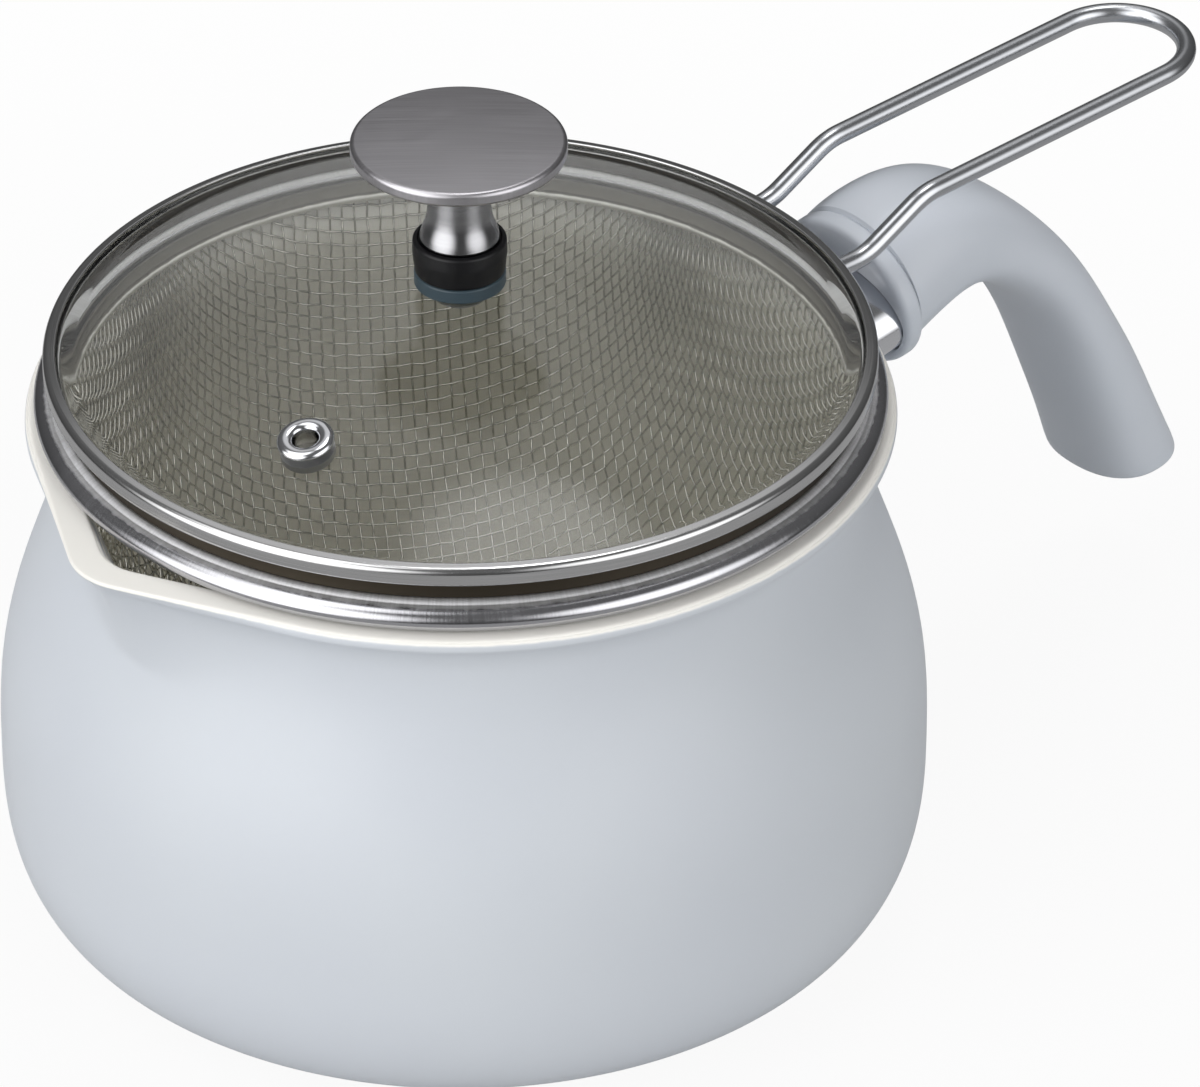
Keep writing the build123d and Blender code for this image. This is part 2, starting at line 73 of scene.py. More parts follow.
def rounded(corners: list[tuple[float, float, float]], steps: int = 7, closed: bool = True) -> Array:
    """Outline with its corners rounded to arcs.

    A corner of radius c is cut back by c * tan(turn / 2) along both sides. The arc runs between the two cuts about
    the centre on the corner's bisector. A support point stands just outside each cut, so flat sides shade flat.

    Args:
        corners: First coordinate, second coordinate and rounding radius of each corner.
        steps: Points on each arc.
        closed: Whether the last corner joins the first.

    Returns:
        Points of the outline, one row each.
    """
    data = np.array(corners, float)
    spot, radius = data[:, :2], data[:, 2]
    count = len(data)
    out = []
    for k in range(count):
        here = spot[k]
        if radius[k] <= 0 or (not closed and k in (0, count - 1)):
            out.append(here[None, :])
            continue
        to_last, to_next = spot[k - 1] - here, spot[(k + 1) % count] - here
        long_last, long_next = np.linalg.norm(to_last), np.linalg.norm(to_next)
        to_last, to_next = to_last / long_last, to_next / long_next
        half = np.arccos(np.clip(to_last @ to_next, -1, 1)) / 2
        cut = min(radius[k] / np.tan(half), 0.48 * long_last, 0.48 * long_next)
        size = cut * np.tan(half)
        bisector = (to_last + to_next) / np.linalg.norm(to_last + to_next)
        centre = here + bisector * size / np.sin(half)
        a, b = here + to_last * cut - centre, here + to_next * cut - centre
        share = np.linspace(0, 1, steps)[:, None]
        sweep = np.pi - 2 * half
        arc = (a * np.sin((1 - share) * sweep) + b * np.sin(share * sweep)) / np.sin(sweep)
        lead = min(0.25 * size, 0.02 * long_last), min(0.25 * size, 0.02 * long_next)
        out += [(here + to_last * (cut + lead[0]))[None, :], centre + arc,
                (here + to_next * (cut + lead[1]))[None, :]]
    return np.concatenate(out)


def unit(vectors: Array) -> Array:
    """Vectors of the last axis divided by their lengths."""
    return vectors / np.maximum(np.linalg.norm(vectors, axis=-1, keepdims=True), TINY)


def full_turn(count: int) -> Array:
    """Evenly spread angles once round."""
    return np.linspace(0, 2 * np.pi, count, endpoint=False)


def run_along(line: Array) -> Array:
    """Summed length from the start of a line to each of its points."""
    return np.concatenate([[0], np.cumsum(np.linalg.norm(np.diff(line, axis=0), axis=1))])


def between(line: Array, run: Array, at: Array) -> Array:
    """Columns of a line at given lengths, by linear interpolation."""
    return np.stack([np.interp(at, run, column) for column in line.T], axis=-1)


def spaced(line: Array, count: int) -> Array:
    """Points at even distances along a line, by linear interpolation over its summed length."""
    run = run_along(line)
    return between(line, run, np.linspace(0, run[-1], count))


def natural_spline(knots: Array, values: Array, at: Array, start_slope: Array | None = None) -> Array:
    """Smooth cubic through given values.

    Each piece is the cubic whose second derivatives M solve the usual three-term system, with M zero at the ends, or
    with a given slope at the start.

    Args:
        knots: Rising parameters of the values.
        values: Values, one row each.
        at: Parameters to evaluate.
        start_slope: Slope at the first knot, if it is fixed.

    Returns:
        One row for each parameter.
    """
    h, count = np.diff(knots), len(knots)
    slope = np.diff(values, axis=0) / h[:, None]
    system, right = np.eye(count), np.zeros_like(values)
    for k in range(1, count - 1):
        system[k, k - 1:k + 2] = h[k - 1], 2 * (h[k - 1] + h[k]), h[k]
        right[k] = 6 * (slope[k] - slope[k - 1])
    if start_slope is not None:
        system[0, :2] = 2 * h[0], h[0]
        right[0] = 6 * (slope[0] - start_slope)
    bend = np.linalg.solve(system, right)
    k = np.clip(np.searchsorted(knots, at, side="right") - 1, 0, count - 2)
    a, b, w = (knots[k + 1] - at)[:, None], (at - knots[k])[:, None], h[k][:, None]
    cubic = (bend[k] * a ** 3 + bend[k + 1] * b ** 3) / (6 * w)
    return cubic + (values[k] / w - bend[k] * w / 6) * a + (values[k + 1] / w - bend[k + 1] * w / 6) * b


def grid_quads(rows: int, cols: int, wrap_rows: bool, wrap_cols: bool) -> Array:
    """Corner numbers of the quads of a grid whose points are counted row by row.

    Args:
        rows, cols: Size of the grid.
        wrap_rows, wrap_cols: Whether the last row or column joins the first.

    Returns:
        Four numbers for each quad.
    """
    i = np.arange(rows if wrap_rows else rows - 1)[:, None]
    j = np.arange(cols if wrap_cols else cols - 1)[None, :]
    i1, j1 = (i + 1) % rows, (j + 1) % cols
    corners = np.broadcast_arrays(i * cols + j, i * cols + j1, i1 * cols + j1, i1 * cols + j)
    return np.stack([c.ravel() for c in corners], axis=1)


def mesh_object(name: str, points: Array, quads: Array, caps: Array | None = None, merge: bool = True) -> Piece:
    """Smooth-shaded object from points and faces, its faces turned outwards.

    The sign of the enclosed volume, the sum of p0 . (p1 x p2) over the faces, says whether they are turned round.

    Args:
        name: Name of the piece.
        points: Points in millimetres.
        quads: Four corner numbers for each quad.
        caps: Corner numbers of end faces, if any.
        merge: Whether points that meet at a pole become one.

    Returns:
        The object, at the origin.
    """
    flat = points.reshape(-1, 3)
    p = flat[quads]
    volume = np.einsum("ij,ij->i", p[:, 0], np.cross(p[:, 1], p[:, 2]) + np.cross(p[:, 2], p[:, 3])).sum()
    if volume < 0:
        quads = quads[:, ::-1]
        caps = None if caps is None else caps[:, ::-1]
    loops, starts = quads.ravel(), np.arange(len(quads)) * 4
    if caps is not None and len(caps):
        starts = np.concatenate([starts, len(loops) + np.arange(len(caps)) * caps.shape[1]])
        loops = np.concatenate([loops, caps.ravel()])
    mesh = bpy.data.meshes.new(name)
    mesh.vertices.add(len(flat))
    mesh.vertices.foreach_set("co", (flat * MM).astype(np.float32).ravel())
    mesh.loops.add(len(loops))
    mesh.loops.foreach_set("vertex_index", loops.astype(np.int32))
    mesh.polygons.add(len(starts))
    mesh.polygons.foreach_set("loop_start", starts.astype(np.int32))
    mesh.update(calc_edges=True)
    if merge:
        work = bmesh.new()
        work.from_mesh(mesh)
        bmesh.ops.remove_doubles(work, verts=work.verts, dist=MERGE_REACH)
        work.to_mesh(mesh)
        work.free()
    mesh.polygons.foreach_set("use_smooth", np.ones(len(mesh.polygons), bool))
    mesh.validate()
    mesh.update()
    piece = bpy.data.objects.new(name, mesh)
    bpy.context.scene.collection.objects.link(piece)
    return piece


def wrapped(name: str, points: Array, closed: bool = False) -> Piece:
    """Object over rows of points that each run once round; closed also joins the last row to the first."""
    return mesh_object(name, points, grid_quads(points.shape[0], points.shape[1], closed, True))


def circle(one: Array, two: Array, count: int) -> Array:
    """Unit circles, cos k * one + sin k * two for angles k once round, on a new axis before the last."""
    k = full_turn(count)[:, None]
    return one[..., None, :] * np.cos(k) + two[..., None, :] * np.sin(k)


def spun(line: Array, turn: Array) -> Array:
    """Points of a line turned about the axis: (r, z) goes to (r cos t, r sin t, z) for each angle t."""
    r, z = line[:, :1], line[:, 1:]
    return np.stack([r * np.cos(turn), r * np.sin(turn), z + 0 * turn], axis=-1)


def turned(name: str, section: Array, steps: int, closed: bool = True) -> Piece:
    """Surface of revolution of a section that is a loop or, if not closed, runs from axis to axis."""
    return wrapped(name, spun(section, full_turn(steps)), closed)


def tube(name: str, path: Array, radius: Array, sides: int) -> Piece:
    """Round bar: path point + radius * (cos k * side + sin k * over), where side is level and square to the path.

    Args:
        name: Name of the piece.
        path: Points of the middle line.
        radius: Radius at each point; zero at both ends closes the bar.
        sides: Points round the bar.

    Returns:
        The object.
    """
    along = unit(np.gradient(path, axis=0))
    side = unit(np.cross(along, [0, 0, 1.0]))
    ring = circle(side, np.cross(side, along), sides)
    return wrapped(name, path[:, None, :] + ring * radius[:, None, None])


# ---------------------------------------------------------------- shared shader effects


def start_group(name: str, outputs: tuple[str, ...], **inputs: float) -> tuple:
    """New shader node group that reads a place.

    Args:
        name: Name of the group.
        outputs: Names of the float outputs.
        inputs: Default value of each further input.

    Returns:
        The tree, the sockets of its entry and the sockets of its exit.
    """
    tree = bpy.data.node_groups.new(name, "ShaderNodeTree")
    tree.interface.new_socket("Place", in_out="INPUT", socket_type="NodeSocketVector")
    for label, value in inputs.items():
        tree.interface.new_socket(label, in_out="INPUT", socket_type="NodeSocketFloat").default_value = value
    for label in outputs:
        tree.interface.new_socket(label, in_out="OUTPUT", socket_type="NodeSocketFloat")
    return tree, tree.nodes.new("NodeGroupInput").outputs, tree.nodes.new("NodeGroupOutput").inputs


def add_node(tree: Tree, kind: str, inputs: dict | None = None, **settings) -> bpy.types.Node:
    """New node with its settings, and inputs that are either values or sockets to link.

    Args:
        tree: Tree that gets the node.
        kind: Blender's node type.
        inputs: Value or source socket for each input, by name or number.
        settings: Properties of the node.

    Returns:
        The node.
    """
    node = tree.nodes.new(kind)
    for label, value in settings.items():
        setattr(node, label, value)
    for label, value in (inputs or {}).items():
        if isinstance(value, Socket):
            tree.links.new(value, node.inputs[label])
        else:
            node.inputs[label].default_value = value
    return node


def number(tree: Tree, operation: str, *values) -> Socket:
    """Result of a Math node; each value is a number or a socket."""
    return add_node(tree, "ShaderNodeMath", dict(enumerate(values)), operation=operation).outputs[0]


def vector(tree: Tree, operation: str, *values) -> Socket:
    """Result of a Vector Math node: a number for a length or dot product, else a vector."""
    node = add_node(tree, "ShaderNodeVectorMath", dict(enumerate(values)), operation=operation)
    return node.outputs["Value" if operation in ("LENGTH", "DOT_PRODUCT") else "Vector"]


def remap(tree: Tree, source: Socket, low: float, high: float,
          from_low: float = 0.0, from_high: float = 1.0, ease: str = "LINEAR") -> Socket:
    """Source mapped from one span of values to another and clamped to it."""
    return add_node(tree, "ShaderNodeMapRange", {
        "Value": source, "From Min": from_low, "From Max": from_high, "To Min": low, "To Max": high},
        interpolation_type=ease).outputs["Result"]


def opaque(value: float | Colour | Socket) -> object:
    """A colour with full alpha; anything else as it is."""
    return (*value, 1.0) if isinstance(value, tuple) and len(value) == 3 else value


class Effects:
    """Shader effects that several finishes share, each built once as a node group."""

    marks: tuple[str, str] = ("Height", "Tone")
    level: tuple[int, int, int] = (1, 1, 0)
    contrast: tuple[float, float] = (0.3, 0.7)
    smudge_span: tuple[float, float] = (0.45, 0.75)
    round_scale: float = 60.0
    climb: tuple[float, float, float] = (0, 0, 0.6)
    along: tuple[float, float, float] = (30.2, -26.2, 0)
    across: tuple[float, float, float] = (0.656, 0.755, 0)

    def __init__(self) -> None:
        """Builds the groups."""
        self.grain = self._grain()
        self.smudges = self._smudges()
        self.turned = self._turned()
        self.strokes = self._strokes()
        self.straight = self._straight()

    def _grain(self) -> Tree:
        """Fine even grain as height, and broad soft patches as tone."""
        tree, entry, leave = start_group("fine_grain", self.marks, Grain=2500.0, Patch=18.0)
        for label, scale in zip(self.marks, ("Grain", "Patch")):
            noise = add_node(tree, "ShaderNodeTexNoise", {
                "Vector": entry["Place"], "Scale": entry[scale], "Detail": 2.0})
            tree.links.new(noise.outputs["Fac"], leave[label])
        return tree

    def _smudges(self) -> Tree:
        """Faint handling marks: warped noise, kept where it is strong."""
        tree, entry, leave = start_group("handling_smudges", ("Mask",), Scale=35.0)
        noise = add_node(tree, "ShaderNodeTexNoise", {
            "Vector": entry["Place"], "Scale": entry["Scale"], "Detail": 4.0, "Distortion": 0.6})
        tree.links.new(remap(tree, noise.outputs["Fac"], 0.0, 1.0, *self.smudge_span), leave["Mask"])
        return tree

    def _end(self, tree: Tree, leave: object, **inputs) -> Tree:
        """Ends a group of marks: noise as height, and the same noise with more contrast as tone."""
        noise = add_node(tree, "ShaderNodeTexNoise", inputs).outputs["Fac"]
        tree.links.new(noise, leave["Height"])
        tree.links.new(remap(tree, noise, 0.0, 1.0, *self.contrast), leave["Tone"])
        return tree

    def _turned(self) -> Tree:
        """Fine marks that run round the axis: noise over radius and height, nearly constant round the piece."""
        tree, entry, leave = start_group("turned_marks", self.marks, Fine=9000.0)
        radius = vector(tree, "LENGTH", vector(tree, "MULTIPLY", entry["Place"], self.level))
        parts = add_node(tree, "ShaderNodeSeparateXYZ", {0: entry["Place"]}).outputs
        place = add_node(tree, "ShaderNodeCombineXYZ", {
            "X": number(tree, "MULTIPLY", radius, entry["Fine"]),
            "Y": number(tree, "MULTIPLY", parts["Z"], entry["Fine"]),
            "Z": number(tree, "MULTIPLY", parts["X"], self.round_scale)})
        return self._end(tree, leave, Vector=place.outputs[0], Scale=1.0, Detail=3.0)

    def _strokes(self) -> Tree:
        """Short strokes that run across a ring: noise over the direction from the axis, nearly constant across it."""
        tree, entry, leave = start_group("cross_strokes", self.marks, Fine=260.0)
        way = vector(tree, "NORMALIZE", vector(tree, "MULTIPLY", entry["Place"], self.level))
        place = vector(tree, "ADD", way, vector(tree, "MULTIPLY", entry["Place"], self.climb))
        return self._end(tree, leave, Vector=place, Scale=entry["Fine"], Detail=4.0, Roughness=0.7)

    def _straight(self) -> Tree:
        """Straight brushed strokes along one level direction: noise that is fine across it and long along it."""
        tree, entry, leave = start_group("straight_strokes", self.marks, Fine=3000.0)
        along = vector(tree, "DOT_PRODUCT", entry["Place"], self.along)
        across = vector(tree, "DOT_PRODUCT", entry["Place"], self.across)
        place = add_node(tree, "ShaderNodeCombineXYZ", {
            "X": along, "Y": number(tree, "MULTIPLY", across, entry["Fine"])})
        return self._end(tree, leave, Vector=place.outputs[0], Scale=1.0, Detail=3.0)


# ---------------------------------------------------------------- finishes


class Lay(Enum):
    """How the fine marks of a steel surface run."""

    TURNED = "round the axis"
    ACROSS = "across the ring"
    STRAIGHT = "straight along one way"
    EVEN = "no direction"


class Sheet:
    """One material with its Principled shader, ready for effects."""

    patch_span: tuple[float, float] = (0.35, 0.65)
    edge_scale: float = 400.0

    def __init__(self, name: str, effects: Effects) -> None:
        """Starts the material.

        Args:
            name: Name of the finish.
            effects: Shared groups.
        """
        self.effects = effects
        self.material = bpy.data.materials.new(name)
        self.material.use_nodes = True
        self.tree = self.material.node_tree
        self.tree.nodes.clear()
        self.shader = self.tree.nodes.new("ShaderNodeBsdfPrincipled")
        self.leave = self.tree.nodes.new("ShaderNodeOutputMaterial")
        self.tree.links.new(self.shader.outputs[0], self.leave.inputs["Surface"])
        self.place = self.tree.nodes.new("ShaderNodeTexCoord").outputs["Object"]

    def set(self, **values: float | Colour) -> None:
        """Sets constant sockets of the shader, underscores standing for spaces."""
        for label, value in values.items():
            self.shader.inputs[label.replace("_", " ")].default_value = opaque(value)

    def effect(self, group: Tree, **values: float) -> bpy.types.Node:
        """Places a shared group, reading the piece's own place."""
        return add_node(self.tree, "ShaderNodeGroup", {"Place": self.place, **values}, node_tree=group)

    def span(self, source: Socket, *limits: float) -> Socket:
        """Source mapped to a span of values and clamped to it."""
        return remap(self.tree, source, *limits)

    def blend(self, source: Socket, first: Colour | Socket, second: Colour | Socket) -> Socket:
        """Colour that goes from first to second as source goes from 0 to 1; each is a colour or a socket."""
        inputs = {0: source, 6: opaque(first), 7: opaque(second)}
        return add_node(self.tree, "ShaderNodeMix", inputs, data_type="RGBA").outputs[2]

    def feed(self, label: str, source: Socket) -> None:
        """Links a source to one of the shader's sockets."""
        self.tree.links.new(source, self.shader.inputs[label])

    def bump(self, height: Socket, strength: float, reach: float) -> None:
        """Adds a bump of a given strength and reach in metres."""
        node = add_node(self.tree, "ShaderNodeBump", {"Strength": strength, "Distance": reach, "Height": height})
        self.feed("Normal", node.outputs["Normal"])

    def mottle(self, colour: Colour, shade: Colour, grain: float, patch: float, depth: float) -> Socket:
        """Colour with faint patches of its shade, over a fine grain in the surface."""
        marks = self.effect(self.effects.grain, Grain=grain, Patch=patch)
        self.bump(marks.outputs["Height"], depth, GRAIN_REACH)
        return self.blend(self.span(marks.outputs["Tone"], 0.0, 1.0, *self.patch_span), shade, colour)

    def smudge(self, scale: float, low: float, high: float) -> None:
        """Roughness that rises from low to high at handling marks."""
        marks = self.effect(self.effects.smudges, Scale=scale)
        self.feed("Roughness", self.span(marks.outputs["Mask"], low, high))

    def height_mask(self, low: float, high: float, uneven: float = 0.3) -> Socket:
        """0 below one height of the piece and 1 above another, in millimetres, with a slightly uneven edge."""
        noise = add_node(self.tree, "ShaderNodeTexNoise", {
            "Vector": self.place, "Scale": self.edge_scale, "Detail": 2.0})
        parts = add_node(self.tree, "ShaderNodeSeparateXYZ", {0: self.place})
        height = number(self.tree, "MULTIPLY_ADD", noise.outputs["Fac"], uneven * MM, parts.outputs["Z"])
        return self.span(height, 0.0, 1.0, low * MM, high * MM)


@dataclass(frozen=True)
class Coating:
    """Sprayed coat: satin colour with faint patches, fine grain and a soft edge to a second colour at a height."""

    name: str
    colour: Colour
    shade: Colour
    roughness: float
    grain: float = 0.05
    edge_colour: Colour | None = None
    edge_low: float = 0.0
    edge_high: float = 1.0
    grain_scale: float = 2600.0
    patch_scale: float = 16.0
    smudge_scale: float = 22.0
    smudge_rough: tuple[float, float] = (-0.03, 0.04)

    def build(self, effects: Effects) -> Material:
        """Makes the material."""
        sheet = Sheet(self.name, effects)
        colour = sheet.mottle(self.colour, self.shade, self.grain_scale, self.patch_scale, self.grain)
        # On the paint this edge is the real two-tone line to the ivory; on the lining the colour below it is painted
        # shade.
        if self.edge_colour is not None:
            colour = sheet.blend(sheet.height_mask(self.edge_low, self.edge_high), colour, self.edge_colour)
        sheet.feed("Base Color", colour)
        sheet.smudge(self.smudge_scale, *(self.roughness + more for more in self.smudge_rough))
        return sheet.material


@dataclass(frozen=True)
class Steel:
    """Stainless steel with fine marks of one lay."""

    name: str
    colour: Colour
    shade: Colour
    roughness: float
    spread: float
    lay: Lay
    depth: float
    fine: float
    stretch: float = 0.0
    low_colour: Colour | None = None
    split_z: float = 0.0
    low_rough: float = 0.0
    high_rough: float = 0.0
    split_soft: float = 0.1
    patch_scale: float = 60.0
    smudge_scale: float = 40.0
    mark_span: tuple[float, float] = (0.2, 1.2)

    def build(self, effects: Effects) -> Material:
        """Makes the material.

        The highlight is stretched square to the marks, by stretch. Where a low colour is given, the finish changes
        at the split height: low colour and added roughness below it, added roughness alone above it.

        Args:
            effects: Shared groups.

        Returns:
            The material.
        """
        sheet = Sheet(self.name, effects)
        sheet.set(Metallic=1.0, Anisotropic=self.stretch,
                  Anisotropic_Rotation=0.25 if self.lay is Lay.TURNED else 0.0)
        lays = {Lay.TURNED: effects.turned, Lay.ACROSS: effects.strokes, Lay.STRAIGHT: effects.straight}
        if self.lay in lays:
            marks = sheet.effect(lays[self.lay], Fine=self.fine)
        else:
            marks = sheet.effect(effects.grain, Grain=self.fine, Patch=self.patch_scale)
        tone = marks.outputs["Tone"]
        colour = sheet.blend(tone, self.shade, self.colour)
        smudge = sheet.effect(effects.smudges, Scale=self.smudge_scale)
        mixed = number(sheet.tree, "ADD", tone, smudge.outputs["Mask"])
        rough = sheet.span(mixed, self.roughness - self.spread, self.roughness + self.spread, *self.mark_span)
        # The colours on the two sides of the split differ by painted light and shade: a painted highlight on the ring,
        # painted shade on the lid rim and the band.
        if self.low_colour is not None:
            above = sheet.height_mask(self.split_z - self.split_soft, self.split_z + self.split_soft)
            colour = sheet.blend(above, self.low_colour, colour)
            rough = number(sheet.tree, "ADD", rough, sheet.span(above, self.low_rough, self.high_rough))
        sheet.feed("Base Color", colour)
        sheet.feed("Roughness", rough)
        sheet.bump(marks.outputs["Height"], self.depth, MARK_REACH)
        return sheet.material


@dataclass(frozen=True)
class Moulding:
    """Moulded plastic or silicone with a fine eroded grain."""

    name: str
    colour: Colour
    shade: Colour
    roughness: float
    grain: float
    depth: float
    see_through: float = 0.0
    gloss: float = 0.5
    ior: float = 1.41
    patch_scale: float = 25.0
    smudge_scale: float = 30.0
    smudge_rough: tuple[float, float] = (-0.03, 0.05)

    def build(self, effects: Effects) -> Material:
        """Makes the material."""
        sheet = Sheet(self.name, effects)
        sheet.set(Specular_IOR_Level=self.gloss)
        if self.see_through:
            sheet.set(Transmission_Weight=self.see_through, IOR=self.ior)
        colour = sheet.mottle(self.colour, self.shade, self.grain, self.patch_scale, self.depth)
        sheet.feed("Base Color", colour)
        sheet.smudge(self.smudge_scale, *(self.roughness + more for more in self.smudge_rough))
        return sheet.material


@dataclass(frozen=True)
class Glass:
    """Clear tempered glass that lets the lamps through and has faint smudges."""

    name: str
    colour: Colour
    shadow: Colour
    ior: float = 1.33
    smudge_scale: float = 14.0
    smudge_rough: tuple[float, float] = (0.0, 0.02)

    def build(self, effects: Effects) -> Material:
        """Makes the material."""
        sheet = Sheet(self.name, effects)
        sheet.set(Base_Color=self.colour, Transmission_Weight=1.0, IOR=self.ior)
        sheet.smudge(self.smudge_scale, *self.smudge_rough)
        clear = add_node(sheet.tree, "ShaderNodeBsdfTransparent", {"Color": opaque(self.shadow)})
        path = add_node(sheet.tree, "ShaderNodeLightPath")
        mix = add_node(sheet.tree, "ShaderNodeMixShader", {
            0: path.outputs["Is Shadow Ray"], 1: sheet.shader.outputs[0], 2: clear.outputs[0]})
        sheet.tree.links.new(mix.outputs[0], sheet.leave.inputs["Surface"])
        return sheet.material


class Finishes:
    """Every finish of the object, built once."""

    def __init__(self) -> None:
        """Makes the shared effects and the materials."""
        fx = Effects()
        ivory = tint(245, 243, 237)
        bright, grey = tint(206, 206, 207), tint(186, 186, 187)
        self.paint = Coating(
            "satin_blue_paint", tint(203, 208, 214), tint(200, 205, 212), roughness=0.42, grain=0.05,
            edge_colour=ivory, edge_low=106.55, edge_high=106.95).build(fx)
        # Lining: the deeper beige below z 99 to 104 is painted shade that dims the inside of the pot; the ivory above
        # it is the coat's own colour.
        self.ivory = Coating(
            "ivory_coating_painted_shade", tint(222, 219, 209), tint(217, 214, 203), roughness=0.34, grain=0.03,
            edge_colour=ivory, edge_low=99.0, edge_high=104.0).build(fx)
        self.grip = Moulding(
            "satin_grip", tint(206, 211, 219), tint(202, 208, 216), roughness=0.40, grain=2400.0,
            depth=0.05).build(fx)
        self.plate = Steel(
            "plate_steel", bright, grey, roughness=0.30, spread=0.06, lay=Lay.TURNED, depth=0.25,
            fine=5000.0).build(fx)
        self.polished = Steel(
            "polished_steel", tint(222, 223, 226), tint(214, 215, 219), roughness=0.12, spread=0.03,
            lay=Lay.EVEN, depth=0.02, fine=900.0).build(fx)
        self.hidden = Steel(
            "plain_steel", grey, tint(160, 160, 162), roughness=0.38, spread=0.06, lay=Lay.EVEN, depth=0.10,
            fine=1500.0).build(fx)
        # Ring: the lighter colour above z 112.55 is a painted highlight on the turned-over top; the steel below it
        # keeps its plain colour.
        self.ring = Steel(
            "ring_steel_painted_highlight", tint(228, 228, 230), bright, roughness=0.19, spread=0.07, lay=Lay.ACROSS, depth=0.45,
            fine=150.0, stretch=0.25, low_colour=tint(192, 192, 196), split_z=112.55, high_rough=0.45).build(fx)
        # Lid rim: the dark warm brown below z 117.05 is painted shade in the gap under the rim, with a painted warm
        # reflection; bright steel above.
        self.rim = Steel(
            "lid_rim_steel_painted_shade", bright, tint(192, 192, 192), roughness=0.18, spread=0.03, lay=Lay.TURNED, depth=0.06,
            fine=6000.0, stretch=0.2, low_colour=tint(72, 66, 57), split_z=117.05, low_rough=0.30).build(fx)
        # Inner band: the dark brown-grey above z 109 is painted shade on steel; the bright colour below it is the
        # steel's own.
        self.band = Steel(
            "band_steel_painted_shade", tint(98, 95, 86), tint(88, 85, 77), roughness=0.42, spread=0.05, lay=Lay.TURNED,
            depth=0.15, fine=6000.0, low_colour=tint(222, 221, 216), split_z=109.0).build(fx)
        self.woven = Steel(
            "woven_wire", tint(228, 226, 220), tint(164, 162, 154), roughness=0.14, spread=0.03, lay=Lay.EVEN,
            depth=0.05, fine=1200.0).build(fx)
        self.wire = Steel(
            "handle_wire", tint(194, 196, 200), tint(190, 192, 196), roughness=0.26, spread=0.01, lay=Lay.EVEN,
            depth=0.002, fine=900.0).build(fx)
        self.disc = Steel(
            "knob_disc_steel", tint(196, 194, 198), tint(184, 182, 186), roughness=0.33, spread=0.04,
            lay=Lay.STRAIGHT, depth=0.05, fine=3000.0).build(fx)
        self.stem = Steel(
            "knob_stem_steel", tint(176, 176, 178), tint(164, 164, 167), roughness=0.22, spread=0.03,
            lay=Lay.TURNED, depth=0.08, fine=7000.0, stretch=0.85).build(fx)
        self.collar = Moulding(
            "black_collar", tint(15, 15, 18), tint(11, 11, 14), roughness=0.42, grain=2200.0, depth=0.06,
            gloss=0.35).build(fx)
        self.silicone = Moulding(
            "blue_silicone", tint(80, 99, 110), tint(73, 92, 104), roughness=0.35, grain=1500.0, depth=0.03,
            see_through=0.5).build(fx)
        self.seal = Moulding(
            "clear_silicone", tint(206, 207, 198), tint(198, 199, 190), roughness=0.30, grain=1500.0, depth=0.03,
            see_through=0.92).build(fx)
        self.glass = Glass(
            "lid_glass_clear", (0.95, 0.957, 0.945), shadow=(0.92, 0.925, 0.91)).build(fx)


# ---------------------------------------------------------------- pieces


def place_piece(piece: Piece, material: Material, body: str, slot: str, *nodes: str) -> Piece:
    """Dresses a new piece, hangs it on its body and lets it stand for CAD nodes.

    Args:
        piece: The new object.
        material: Its finish.
        body: Body that it moves with.
        slot: Material slot of the record; not used.
        nodes: CAD nodes that it stands for.

    Returns:
        The piece.
    """
    piece.data.materials.append(material)
    if nodes:
        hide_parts(*nodes)
    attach(piece, body)
    LOG.info("%s: %d faces, rides on %s", piece.name, len(piece.data.polygons), body)
    return piece


def dress_node(node: str, material: Material) -> None:
    """Gives a kept CAD node its finish.

    Args:
        node: Name of the node.
        material: Its finish.
    """
    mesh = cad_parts[node].data
    mesh.materials.clear()
    mesh.materials.append(material)
    LOG.info("%s: kept as built", node)


